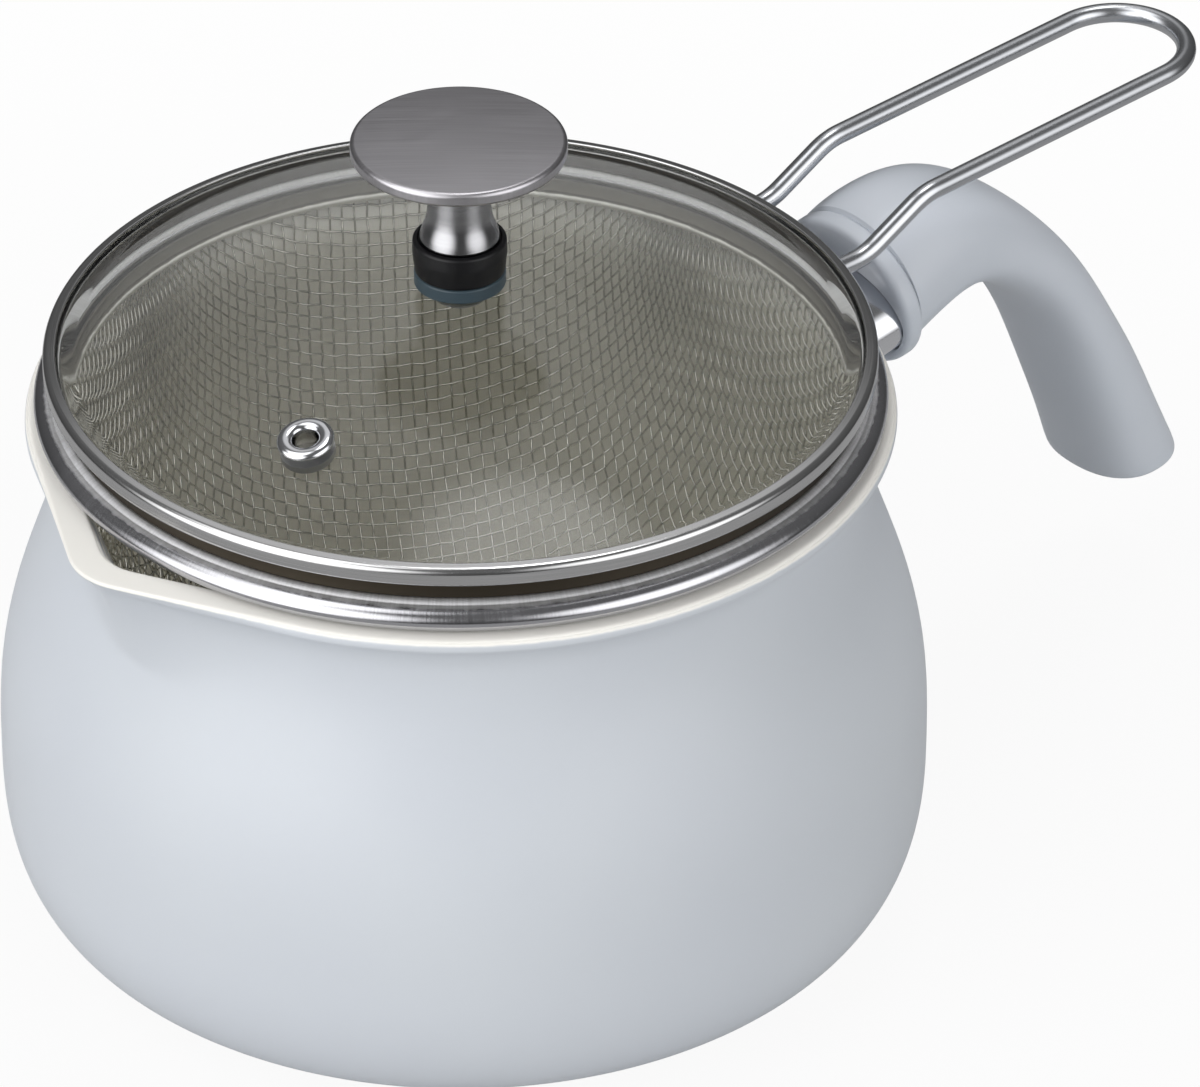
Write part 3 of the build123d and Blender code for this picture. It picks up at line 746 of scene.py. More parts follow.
@dataclass
class Pot:
    """Bulbous pot with a pouring spout along -X: painted shell, ivory coating and steel base plate."""

    foot_z: float = 0.4
    base_r: float = 66.0
    belly_r: float = 90.84
    belly_z: float = 33.0
    neck_r: float = 78.3
    neck_z: float = 97.0
    foot_power: float = 2.8
    shoulder_power: float = 1.4
    wall: float = 3.2
    coat: float = 0.4
    lip_r: float = 83.8
    lip_top: float = 107.3
    lip_edge: float = 2.8
    lip_round: float = 1.25
    lip_tuck: float = 0.3
    mouth_r: float = 77.6
    paint_line: float = 106.9
    plate_r: float = 60.0
    plate_t: float = 1.6
    spout_reach: float = 92.3
    spout_lip: float = 6.0
    spout_tip_r: float = 14.0
    spout_fall: float = 29.0
    spout_sink: float = 2.4
    spout_blend: float = 0.16
    spout_span: float = 0.62
    columns: Array = field(init=False)

    def __post_init__(self) -> None:
        """Sets the columns: angles from -X, closer together at the spout."""
        near = np.linspace(-self.spout_span, self.spout_span, 131)
        far = np.linspace(self.spout_span, 2 * np.pi - self.spout_span, 172)[1:-1]
        self.columns = np.concatenate([near, far])

    def shoulder_r(self, z: Array) -> Array:
        """Wall radius above the belly: a half cosine wave from belly to neck over height share to a power."""
        share = np.clip((z - self.belly_z) / (self.neck_z - self.belly_z), 0, 1)
        return self.neck_r + (self.belly_r - self.neck_r) * (1 + np.cos(np.pi * share ** self.shoulder_power)) / 2

    def wall_line(self) -> Array:
        """Outer wall from foot to neck: a superellipse quarter below the belly, a half cosine wave above it."""
        t = np.linspace(0, np.pi / 2, 700)
        r = self.base_r + (self.belly_r - self.base_r) * np.sin(t) ** (2 / self.foot_power)
        z = self.belly_z - (self.belly_z - self.foot_z) * np.clip(np.cos(t), 0, 1) ** (2 / self.foot_power)
        high = np.linspace(self.belly_z, self.neck_z, 500)[1:]
        return spaced(np.concatenate([np.stack([r, z], 1), np.stack([self.shoulder_r(high), high], 1)]), 110)

    @staticmethod
    def flare(r0: float, z0: float, r1: float, z1: float, turn: float = 90.0, count: int = 14) -> Array:
        """Sweep that leaves upright: r0 + (r1 - r0)(1 - cos a), z0 + (z1 - z0) sin a, for a up to turn degrees."""
        a = np.radians(np.linspace(0, turn, count))
        return np.stack([r0 + (r1 - r0) * (1 - np.cos(a)), z0 + (z1 - z0) * np.sin(a)], 1)

    @staticmethod
    def moved_in(line: Array, depth: float) -> Array:
        """Line moved inwards along its normals by a depth."""
        along = unit(np.gradient(line, axis=0))
        return line + depth * np.stack([-along[:, 1], along[:, 0]], 1)

    def outline(self, radius: Array, tip: Array, nose: Array, blend: Array) -> Array:
        """Level outline as distance from the axis: the hull of the pot's circle and a smaller circle at the spout.

        Near the tip it is the small circle, c cos t + sqrt(n^2 - c^2 sin^2 t). Beside it runs the shared tangent
        line, R / cos(p - t), where cos p = (R - n) / c. Elsewhere it is the pot's circle. The distance is averaged
        over a small span of angles, with a cosine weight, so that the spout flows into the wall.

        Args:
            radius: Circle radius of each row.
            tip: Reach of the spout at each row.
            nose: Radius of the small circle at each row.
            blend: Half span of the average at each row, in radians.

        Returns:
            Distance for each row and column.
        """
        r, n = radius[:, None], nose[:, None]
        out = np.maximum(tip[:, None], r + SMALL)
        c = out - n
        p = np.arccos(np.clip((r - n) / c, -1, 1))
        q = np.arctan2(n * np.sin(p), c + n * np.cos(p))
        shift = np.linspace(-1, 1, 13)[1:-1]
        weight = 1 + np.cos(np.pi * shift)
        total = 0.0
        for step, share in zip(shift, weight / weight.sum()):
            t = np.abs((self.columns + step * blend[:, None] + np.pi) % (2 * np.pi) - np.pi)
            small = c * np.cos(t) + np.sqrt(np.clip(n ** 2 - (c * np.sin(t)) ** 2, 0, None))
            line = r / np.maximum(np.cos(p - t), 0.2)
            total = total + share * np.where(t <= q, small, np.where(t <= p, line, r))
        return total

    def spout(self, z: Array, reach: float, tip_r: float, inset: float) -> tuple[Array, Array]:
        """Reach and nose radius of the spout by height; share s of the fall gives 0.55 s + 0.45 s^4 of the reach."""
        s = np.clip(1 - (self.lip_top - z) / self.spout_fall, 0, 1)
        low = float(self.shoulder_r(np.array(self.lip_top - self.spout_fall))) - inset - self.spout_sink
        return np.where(s > 0, low + (reach - low) * (0.55 * s + 0.45 * s ** 4), 0.0), tip_r * (0.7 + 0.3 * s)

    def sections(self, depth: float) -> tuple[Array, Array, Array, Array]:
        """Upper outside and inside of the wall at a depth below its surface.

        Args:
            depth: Distance inwards from the visible surface.

        Returns:
            Radius, height, spout reach and nose radius of each row, from the foot over the lip to the floor.
        """
        under = self.lip_top - self.lip_edge
        bend = self.flare(self.neck_r, self.neck_z, self.lip_r - self.lip_tuck, under)
        edge = rounded([(self.lip_r - 3.5, under, 0), (self.lip_r, under + 0.2, 1.1),
                        (self.lip_r, self.lip_top, self.lip_round), (self.mouth_r - 0.4, self.lip_top, 1.1),
                        (self.mouth_r - 1.35, self.lip_top - 4.2, 0)], 8, closed=False)
        wall = self.wall_line()
        outer = np.concatenate([wall, bend[1:-3], edge[1:12]])
        top = edge[12:-1]
        inner = self.moved_in(wall, self.wall)[::-1]
        mouth = self.flare(self.neck_r - self.wall, self.neck_z, self.mouth_r + 0.4, self.lip_top + 0.6, 60.0)[::-1]
        line = np.concatenate([outer, top, mouth[1:-1], inner])
        r, z = line.T
        tip_out, nose_out = self.spout(z, self.spout_reach + 0.7, self.spout_tip_r, 0)
        tip_in, nose_in = self.spout(z, self.spout_reach - self.spout_lip - 0.4, self.spout_tip_r - 2.8, self.wall)
        within = np.zeros(len(line))
        first, last = len(outer), len(outer) + len(top)
        within[last:] = 1
        across = self.lip_r - self.mouth_r - 1.3
        within[first:last] = np.clip((self.lip_r - self.lip_round - r[first:last]) / across, 0, 1)
        tip = tip_out + (tip_in - tip_out) * within
        nose = nose_out + (nose_in - nose_out) * within
        soft = np.clip((z - self.lip_top + self.lip_round) / self.lip_round, 0, 1) * (1 - within)
        tip -= soft * np.clip(self.lip_r - r, 0, self.lip_round)
        moved = self.moved_in(line, depth) if depth else line
        return moved[:, 0], moved[:, 1], tip - depth, np.maximum(nose - depth, 1.0)

    def rows(self, depth: float) -> Array:
        """Points of the wall at a depth below its surface, row by row: the level outline turned about the axis."""
        r, z, tip, nose = self.sections(depth)
        climb = np.clip(1 - (self.lip_top - z) / self.spout_fall, 0, 1)
        reach = self.outline(r, tip, nose, self.spout_blend * (1.15 - climb))
        turn = np.pi + self.columns
        return np.stack([reach * np.cos(turn), reach * np.sin(turn), z[:, None] + 0 * reach], -1)

    def level_rows(self, line: Array) -> Array:
        """Points of plain circles from radius and height."""
        return spun(line, np.pi + self.columns)

    def build(self, looks: Finishes) -> None:
        """Makes shell and coating, and dresses the base plate."""
        skin, back = self.rows(0.0), self.rows(self.coat)
        turn_over = int(np.argmax(skin[:, 0, 2] >= self.paint_line))
        r, foot, floor = self.plate_r, self.foot_z, self.foot_z + self.wall
        middle = np.array([[self.base_r * 0.5, floor], [0.0, floor]])
        under = self.level_rows(np.array([
            [0, self.plate_t], [r - 0.4, self.plate_t], [r, self.plate_t], [r, foot + 0.2], [r + 0.3, foot],
            [self.base_r - 1.0, foot]]))
        behind = back[turn_over:]
        behind_middle = self.level_rows(middle - [0.0, self.coat])
        shell = np.concatenate([under, skin[:turn_over + 1], behind[1::2], behind_middle])
        coat = np.concatenate([skin[turn_over:], self.level_rows(middle), behind_middle[::-1], behind[::-2]])
        place_piece(wrapped("pot_wall", shell), looks.paint, "pot", "paint", "pot_shell")
        place_piece(wrapped("pot_lining", coat, True), looks.ivory, "pot", "ivory", "inner_coating")
        dress_node("base_plate", looks.plate)


@dataclass
class Handle:
    """Hook handle of the pot: moulded grip with a collar, a polished oval ferrule and its hidden steel."""

    collar: tuple[float, float] = (100.0, 92.2)
    tilt: float = 8.0
    collar_a: float = 18.45
    collar_b: float = 15.6
    collar_t: float = 4.6
    collar_round: float = 1.5
    path_points: tuple = ((100.0, 92.2), (110.0, 96.6), (124.1, 97.9), (136.8, 91.6), (148.8, 79.9), (159.4, 62.5),
                          (176.2, 24.8))
    start_rise: float = 26.0
    half_widths: tuple = (17.8, 17.0, 16.4, 16.0, 15.8, 15.5, 15.2, 15.0, 14.9)
    half_heights: tuple = (15.2, 13.8, 10.7, 8.7, 8.0, 8.3, 9.4, 10.1, 11.2)
    squareness: float = 2.3
    ferrule_a: float = 16.5
    ferrule_b: float = 9.5
    ferrule_drop: float = 2.25
    groove: float = 0.2
    end_round: float = 1.5
    end_level: float = 0.7
    end_run: float = 24.0
    seat: float = 2.4
    square_run: float = 20.0
    bend_run: float = 10.0
    ferrule_wall: float = 0.9
    ferrule_sink: float = 0.8
    ferrule_reach: float = 2.2
    sides: int = 96

    def axes(self) -> tuple[Array, Array, Array]:
        """Directions out of the pot, up and sideways at the collar."""
        a = np.radians(self.tilt)
        return np.array([np.cos(a), 0, np.sin(a)]), np.array([-np.sin(a), 0, np.cos(a)]), np.array([0, 1.0, 0])

    def middle_line(self, count: int) -> tuple[Array, Array, Array]:
        """Middle line of the grip: a smooth cubic through its points that leaves the collar square.

        Args:
            count: Number of points.

        Returns:
            Points in X and Z, their directions, and the distance along the line.
        """
        knots = np.array(self.path_points)
        run = run_along(knots)
        a = np.radians(self.start_rise)
        line = natural_spline(run, knots, np.linspace(0, run[-1], count), np.array([np.cos(a), np.sin(a)]))
        return line, unit(np.gradient(line, axis=0)), run_along(line)

    def grip(self) -> Array:
        """Points of the grip: a superellipse of changing half sizes carried along the middle line.

        The rows start in the ferrule's groove, cross the face of the collar, round its edges, sink to the neck of the
        grip and follow the line to the rounded end. A row holds its distance, half width, half height, the share of
        the ferrule's drop, and the power of its outline: cos k and sin k to 2 / power. Towards the end the upper side
        slides on and the lower side back, so that the end is cut almost level.

        Returns:
            Points, row by row.
        """
        line, along, length = self.middle_line(900)
        stations = np.linspace(0, 1, len(self.half_widths))
        sizes = np.stack([self.half_widths, self.half_heights], 1)
        a, b, long = self.ferrule_a + self.groove, self.ferrule_b + self.groove, length[-1]
        t, soft = self.collar_t, self.collar_round
        inner_a, inner_b = self.collar_a - soft, self.collar_b - soft
        start = np.array([[self.seat, 0.01, 0.01, 1, 2], [self.seat, a, b, 1, 2], [0.4, a, b, 1, 2],
                          [0.0, a + 0.15, b + 0.15, 1, 2], [0.0, inner_a - 0.05, inner_b - 0.05, 0, 2]])
        q = np.linspace(0, np.pi / 2, 9)
        front = np.stack([soft * (1 - np.cos(q)), inner_a + soft * np.sin(q), inner_b + soft * np.sin(q), 0 * q,
                          0 * q + 2], 1)
        rear = front[::-1].copy()
        rear[:, 0] = t - rear[:, 0]
        at = np.concatenate([t + 0.1 + 1.9 * np.linspace(0, 1, 8) ** 1.3, np.linspace(t + 2.6, long - 3.4, 110)])
        size = natural_spline(stations, sizes, np.interp(at, length, np.linspace(0, 1, len(length))))
        squarer = np.clip((at - t) / self.square_run, 0, 1)[:, None]
        power = 2 + (self.squareness - 2) * squarer
        size *= 2 ** (0.6 * (1 / power - 0.5))
        rear[:, 1:3] = np.maximum(rear[:, 1:3], size[0])
        body = np.concatenate([at[:, None], size, 0 * power, power], 1)
        e = np.linspace(0, np.pi / 2, 10)
        drawn = (self.end_round * (1 - np.cos(e)))[:, None]
        end = np.concatenate([(long - self.end_round * (1 - np.sin(e)))[:, None], size[-1:] - drawn, 0 * drawn,
                              0 * drawn + self.squareness], 1)
        crown = np.array([[long + 0.15, size[-1, 0] * 0.5, size[-1, 1] * 0.45, 0, 2], [long + 0.2, 0.0, 0.0, 0, 2]])
        rows = np.concatenate([start, front, rear[:-1], body, end, crown])
        d = np.clip(rows[:, 0], 0, long)
        centre, way = between(line, length, d), between(along, length, d)
        straight = self.axes()[0][[0, 2]]
        near = np.clip((d - t) / self.bend_run, 0, 1)[:, None]
        centre = np.where(rows[:, :1] <= t, np.array(self.collar) + straight * rows[:, :1], centre)
        way = unit(straight * (1 - near) + way * near)
        centre += way * np.clip(rows[:, :1] - long, 0, None)
        up = np.stack([-way[:, 1], way[:, 0]], 1)
        centre -= up * self.ferrule_drop * rows[:, 3:4]
        k = full_turn(self.sides)
        bend = 2 / rows[:, 4:5]
        wide = rows[:, 1:2] * np.sign(np.cos(k)) * np.abs(np.cos(k)) ** bend
        high = rows[:, 2:3] * np.sign(np.sin(k)) * np.abs(np.sin(k)) ** bend
        last = np.clip((d[:, None] - long + self.end_run) / self.end_run, 0, 1)
        slide = high * self.end_level * last * last * (3 - 2 * last) * up[-1, 1] / up[-1, 0]
        x, z = (centre[:, c:c + 1] + up[:, c:c + 1] * high + way[:, c:c + 1] * slide for c in (0, 1))
        return np.stack([x, wide, z], -1)

    def ferrule(self, pot: Pot) -> Array:
        """Points of the ferrule: an oval carried from just inside the pot's wall into the collar.

        A point's start is where its line along the handle meets the wall's radius, found by a few repeated steps.

        Args:
            pot: Pot whose wall it stands on.

        Returns:
            Points, row by row.
        """
        out, up, side = self.axes()
        k = full_turn(self.sides)
        base = np.array([self.collar[0], 0, self.collar[1]]) - up * self.ferrule_drop

        def ring(shrink: float) -> Array:
            """Oval about the ferrule's line, drawn in by a distance."""
            a, b = self.ferrule_a - shrink, self.ferrule_b - shrink
            return base + side * (a * np.cos(k))[:, None] + up * (b * np.sin(k))[:, None]

        def start(points: Array) -> Array:
            """Distance along the handle at which each point enters the wall."""
            d = np.full(len(points), -20.0)
            for _ in range(12):
                spot = points + out * d[:, None]
                z = spot[:, 2]
                share = np.clip((z - pot.neck_z) / (pot.lip_top - pot.lip_edge - pot.neck_z), 0, 0.98)
                flare = (pot.lip_r - pot.lip_tuck - pot.neck_r) * (1 - np.sqrt(1 - share ** 2))
                radius = pot.shoulder_r(z) + flare
                d += (np.sqrt(radius ** 2 - spot[:, 1] ** 2) - self.ferrule_sink - spot[:, 0]) / out[0]
            return d

        outer, inner = ring(0.0), ring(self.ferrule_wall)
        near_o, near_i = start(outer), start(inner)
        steps = np.linspace(0, 1, 14)[:, None]
        rows_o = outer + out * (near_o + (self.ferrule_reach - near_o) * steps)[..., None]
        rows_i = inner + out * (near_i + (self.ferrule_reach - near_i) * steps[::-1])[..., None]
        return np.concatenate([rows_o, rows_i])

    def build(self, looks: Finishes, pot: Pot) -> None:
        """Makes grip and ferrule, and dresses the hidden steel."""
        place_piece(wrapped("hook_grip", self.grip()), looks.grip, "pot", "grip", "handle_grip")
        place_piece(wrapped("ferrule_tube", self.ferrule(pot), True), looks.polished, "pot", "steel_polished",
                    "ferrule")
        for node in ("handle_bracket", "screw_washer", "handle_screw"):
            dress_node(node, looks.hidden)


@dataclass
class Strainer:
    """Lift-out strainer: rolled ring, inner band, wire handle and woven basket."""

    bead_a: float = 3.4
    bead_b: float = 2.5
    bead_centre: float = 78.6
    bead_z: float = 110.1
    land: tuple = ((77.75, 113.28), (78.75, 112.76))
    sheet: float = 0.6
    band_r: float = 75.8
    band_top: float = 110.45
    band_drop: float = 3.0
    hem_r: float = 0.8
    hem_soft: float = 0.12
    band_soft: float = 0.15
    top_start: float = 1.0
    top_turn: tuple[float, float] = (180.0, 95.0)
    bead_turn: tuple[float, float] = (86.0, -120.0)
    wire_r: float = 2.0
    wire_gauge: float = 28.15
    wire_root_z: float = 110.0
    wire_rise_x: float = 92.0
    wire_leg: tuple[float, float] = (107.5, 118.05)
    wire_slope: float = 0.032
    wire_loop_x: float = 173.55
    wire_bend: float = 14.0
    wire_sink: float = 1.7
    weld_run: float = 3.4
    weld_swell: float = 0.16

    def ring_section(self) -> Array:
        """Section of the rolled ring: band, turned-over top, narrow sloping land and an open oval bead.

        The top is a quarter oval from the band to the land, and the bead is centre + (a cos t, b sin t). The sheet's
        other side is the same line moved in by its thickness.

        Returns:
            Radius and height of each point.
        """
        (land_r, land_z), _ = self.land
        over = np.radians(np.linspace(*self.top_turn, 14))
        rise = land_z - self.band_top - self.top_start
        top = np.stack([land_r + (land_r - self.band_r) * np.cos(over), land_z - rise + rise * np.sin(over)], 1)
        turn = np.radians(np.linspace(*self.bead_turn, 56))
        bead = np.stack([self.bead_centre + self.bead_a * np.cos(turn), self.bead_z + self.bead_b * np.sin(turn)], 1)
        outer = np.concatenate([top, np.array(self.land), bead])
        low, r, soft = self.band_top - self.band_drop, self.band_r, self.band_soft
        band = np.array([[r + self.sheet, low + soft], [r + self.sheet - soft, low], [r + soft, low], [r, low + soft],
                         [r, self.band_top - 0.4]])
        return np.concatenate([outer, Pot.moved_in(outer, -self.sheet)[::-1], band])

    def band_section(self) -> Array:
        """Section of the inner band: a strip whose lower edge is rolled inwards to a round hem."""
        outer, low = self.band_r - self.sheet, self.band_top - self.band_drop
        inner, top = outer - self.sheet, self.band_top + 1.2 * self.hem_r
        turn = np.linspace(0, np.arccos(1 - self.sheet / self.hem_r) - 2 * np.pi, 30)
        roll = np.stack([outer + self.hem_r * (np.cos(turn) - 1), low + self.hem_r * (1 + np.sin(turn))], 1)
        soft = self.hem_soft
        edge = np.array([[inner, top - soft], [inner + soft, top], [outer - soft, top], [outer, top - soft]])
        return np.concatenate([roll, edge])[::-1]

    def wire_line(self) -> tuple[Array, Array]:
        """Middle line of the wire handle, its bends rounded, and the wire's radius, swollen at the welds.

        Returns:
            Points and radii.
        """
        half = self.wire_gauge / 2
        x, z = self.wire_leg
        loop_z = z + self.wire_slope * (self.wire_loop_x - x)
        start = self.bead_centre + self.wire_sink
        leg = rounded([(start, self.wire_root_z, 0), (self.wire_rise_x, self.wire_root_z, self.wire_bend),
                       (x, z, self.wire_bend), (self.wire_loop_x, loop_z, 0)], 16, closed=False)
        leg = spaced(leg, 150)
        turn = np.linspace(np.pi / 2, -np.pi / 2, 40)[1:-1]
        loop = np.stack([self.wire_loop_x + half * np.cos(turn), half * np.sin(turn),
                         loop_z + self.wire_slope * half * np.cos(turn)], 1)
        one = np.stack([leg[:, 0], 0 * leg[:, 0] + half, leg[:, 1]], 1)
        two = one[::-1] * np.array([1, -1, 1])
        path = np.concatenate([one[:1], one, loop, two, two[-1:]])
        path[[0, -1], 0] -= 0.01
        weld = np.exp(-((path[:, 0] - start) / self.weld_run) ** 2)
        radius = self.wire_r * (1 + self.weld_swell * weld)
        radius[[0, -1]] = 0.0
        return path, radius

    def build(self, looks: Finishes) -> None:
        """Makes ring, band, wire handle and basket."""
        place_piece(turned("strainer_ring", self.ring_section(), 360), looks.ring, "strainer", "rim_steel",
                    "strainer_rim")
        place_piece(turned("clamp_band", self.band_section(), 300), looks.band, "strainer", "rim_steel", "inner_band")
        path, radius = self.wire_line()
        place_piece(tube("loop_handle", path, radius, 20), looks.wire, "strainer", "wire_steel", "wire_handle")
        Basket().build(looks)


@dataclass
class Basket:
    """Woven basket: a square net of wires draped over a bowl so that every wire keeps its pitch."""

    pitch: float = 2.6
    wire_r: float = 0.215
    crimp: float = 0.2
    turn: float = -30.0
    cells: int = 52
    bowl_r: float = 73.9
    neck_z: float = 97.0
    bottom_z: float = 22.75
    clamp_r: float = 75.5
    clamp_z: float = 107.45
    top_z: float = 109.7
    power: float = 2.5
    unevenness: float = 0.07
    samples: int = 4
    sides: int = 5
    stride: float = 0.5
    seed: int = 4

    def profile(self) -> tuple[Array, Array]:
        """Section of the bowl from its bottom up: a superellipse quarter, an S curve to the clamp and a straight top.

        Returns:
            Distance along the section, and radius and height there.
        """
        a = np.linspace(np.pi / 2, 0, 900)
        r = self.bowl_r * np.clip(np.cos(a), 0, 1) ** (2 / self.power)
        z = self.neck_z - (self.neck_z - self.bottom_z) * np.sin(a) ** (2 / self.power)
        share = np.linspace(0, 1, 40)[1:]
        ease = share ** 2 * (3 - 2 * share)
        bend = np.stack([self.bowl_r + (self.clamp_r - self.bowl_r) * ease,
                         self.neck_z + (self.clamp_z - self.neck_z) * share], 1)
        tall = np.array([[self.clamp_r, self.clamp_z + 200.0]])
        line = spaced(np.concatenate([np.stack([r, z], 1), bend, tall]), 3000)
        return run_along(line), line

    def surface(self, spot: Array, length: Array, line: Array) -> tuple[Array, Array, Array, Array]:
        """Place on the bowl of a flat spot (a, b): distance s = |(a, b)| up the section, at the angle of (a, b).

        Args:
            spot: Flat spots.
            length, line: The section.

        Returns:
            Points, directions up the section, directions round the bowl, and the stretch s / r.
        """
        s = np.maximum(np.linalg.norm(spot, axis=-1), SMALL)
        c = spot / s[..., None]
        r, z = np.interp(s, length, line[:, 0]), np.interp(s, length, line[:, 1])
        slope = np.gradient(line, length, axis=0)
        dr, dz = np.interp(s, length, slope[:, 0]), np.interp(s, length, slope[:, 1])
        points = np.stack([r * c[..., 0], r * c[..., 1], z], -1)
        up = np.stack([dr * c[..., 0], dr * c[..., 1], dz], -1)
        round_way = np.stack([-c[..., 1], c[..., 0], 0 * s], -1)
        return points, up, round_way, s / np.maximum(r, SMALL)

    def drape(self, length: Array, line: Array) -> Array:
        """Flat spots of all crossings of the net.

        Two wires run straight through the bottom. Every further crossing is the spot of the bowl that lies one pitch
        from both of its inner neighbours, found by Newton steps in climb and drift, one diagonal of a quarter at a
        time. The quarter is mirrored to the other three, and every crossing is moved a little.

        Args:
            length, line: Section of the bowl.

        Returns:
            Spots, one for each crossing.
        """
        n = self.cells + 1
        spot = np.zeros((n, n, 2))
        spot[:, 0, 0] = spot[0, :, 1] = np.arange(n) * self.pitch
        for k in range(2, 2 * n - 1):
            i = np.arange(max(1, k - n + 1), min(n, k))
            j = k - i
            a = self.surface(spot[i, j - 1], length, line)[0]
            b = self.surface(spot[i - 1, j], length, line)[0]
            here = spot[i, j - 1] + spot[i - 1, j] - spot[i - 1, j - 1]
            for _ in range(8):
                p, up, way, stretch = self.surface(here, length, line)
                da, db = p - a, p - b
                fa, fb = (da ** 2).sum(-1) - self.pitch ** 2, (db ** 2).sum(-1) - self.pitch ** 2
                ua, wa, ub, wb = ((d * e).sum(-1) * 2 for d in (da, db) for e in (up, way))
                det = ua * wb - wa * ub
                det = np.where(np.abs(det) < SMALL, SMALL, det)
                climb = np.clip((wa * fb - wb * fa) / det, -self.stride, self.stride)[:, None]
                drift = (np.clip((ub * fa - ua * fb) / det, -self.stride, self.stride) * stretch)[:, None]
                c = here / np.linalg.norm(here, axis=-1, keepdims=True)
                here = here + climb * c + drift * np.stack([-c[:, 1], c[:, 0]], -1)
            spot[i, j] = here
        left = np.concatenate([spot[:0:-1] * np.array([-1, 1]), spot])
        whole = np.concatenate([left[:, :0:-1] * np.array([1, -1]), left], axis=1)
        a = np.radians(self.turn)
        whole = whole @ np.array([[np.cos(a), np.sin(a)], [-np.sin(a), np.cos(a)]])
        return whole + np.random.default_rng(self.seed).normal(0.0, self.unevenness, whole.shape)

    def wires(self, spot: Array, lift: float, length: Array, line: Array) -> tuple[Array, Array, Array]:
        """Round wires along the first direction of the net.

        Between crossings the spots follow a cubic through their neighbours. The wire's height over the bowl is
        lift * cos(pi * crossing), with the sign changing from wire to wire, so that it goes over and under.

        Args:
            spot: Spots of the crossings, wires along the first index.
            lift: Height of the wave.
            length, line: Section of the bowl.

        Returns:
            Points, quads and end faces.
        """
        count, wires = spot.shape[:2]
        at = np.arange((count - 1) * self.samples + 1) / self.samples
        k = np.clip(at.astype(int), 0, count - 2)
        f = (at - k)[:, None, None]
        p0, p1 = spot[np.maximum(k - 1, 0)], spot[k]
        p2, p3 = spot[k + 1], spot[np.minimum(k + 2, count - 1)]
        fine = p1 + 0.5 * f * (p2 - p0 + f * (2 * p0 - 5 * p1 + 4 * p2 - p3 + f * (3 * (p1 - p2) + p3 - p0)))
        points, up, way, _ = self.surface(fine, length, line)
        normal = np.cross(way, up)
        sign = np.where(np.arange(wires) % 2 == 0, 1.0, -1.0)
        points = points + normal * (lift * np.cos(np.pi * at)[:, None] * sign[None, :])[..., None]
        along = unit(np.gradient(points, axis=0))
        side = unit(np.cross(along, normal))
        skin = points[:, :, None, :] + self.wire_r * circle(side, np.cross(side, along), self.sides)
        good = points[..., 2] <= self.top_z
        reach = np.maximum.accumulate(~good[len(at) // 2:], axis=0)
        back = np.maximum.accumulate(~good[:len(at) // 2 + 1][::-1], axis=0)[::-1]
        good = ~np.concatenate([back[:-1], reach])
        both = good[:-1] & good[1:]
        number = np.arange(skin[..., 0].size).reshape(skin.shape[:3])
        q = np.stack([number[:-1], np.roll(number[:-1], -1, 2), np.roll(number[1:], -1, 2), number[1:]], -1)[both]
        first = good & ~np.concatenate([np.zeros_like(good[:1]), good[:-1]])
        last = good & ~np.concatenate([good[1:], np.zeros_like(good[:1])])
        first[:-1] &= both
        last[1:] &= both
        caps = np.concatenate([number[first][:, ::-1], number[last]])
        used, again = np.unique(np.concatenate([q.reshape(-1), caps.reshape(-1)]), return_inverse=True)
        quads = again[:q.size].reshape(-1, 4)
        return skin.reshape(-1, 3)[used], quads, again[q.size:].reshape(-1, self.sides)

    def build(self, looks: Finishes) -> None:
        """Makes the wires of both directions, each in two halves."""
        length, line = self.profile()
        spot = self.drape(length, line)
        middle = self.cells
        halves = {"warp_wires": (spot, self.crimp), "weft_wires": (np.swapaxes(spot, 0, 1), -self.crimp)}
        for name, (net, lift) in halves.items():
            for half, part in (("a", slice(0, middle)), ("b", slice(middle, None))):
                wave = lift if half == "a" or middle % 2 == 0 else -lift
                points, quads, caps = self.wires(net[:, part], wave, length, line)
                piece = mesh_object(f"{name}_{half}", points, quads, caps, merge=False)
                place_piece(piece, looks.woven, "strainer", "mesh_steel", "mesh_basket")


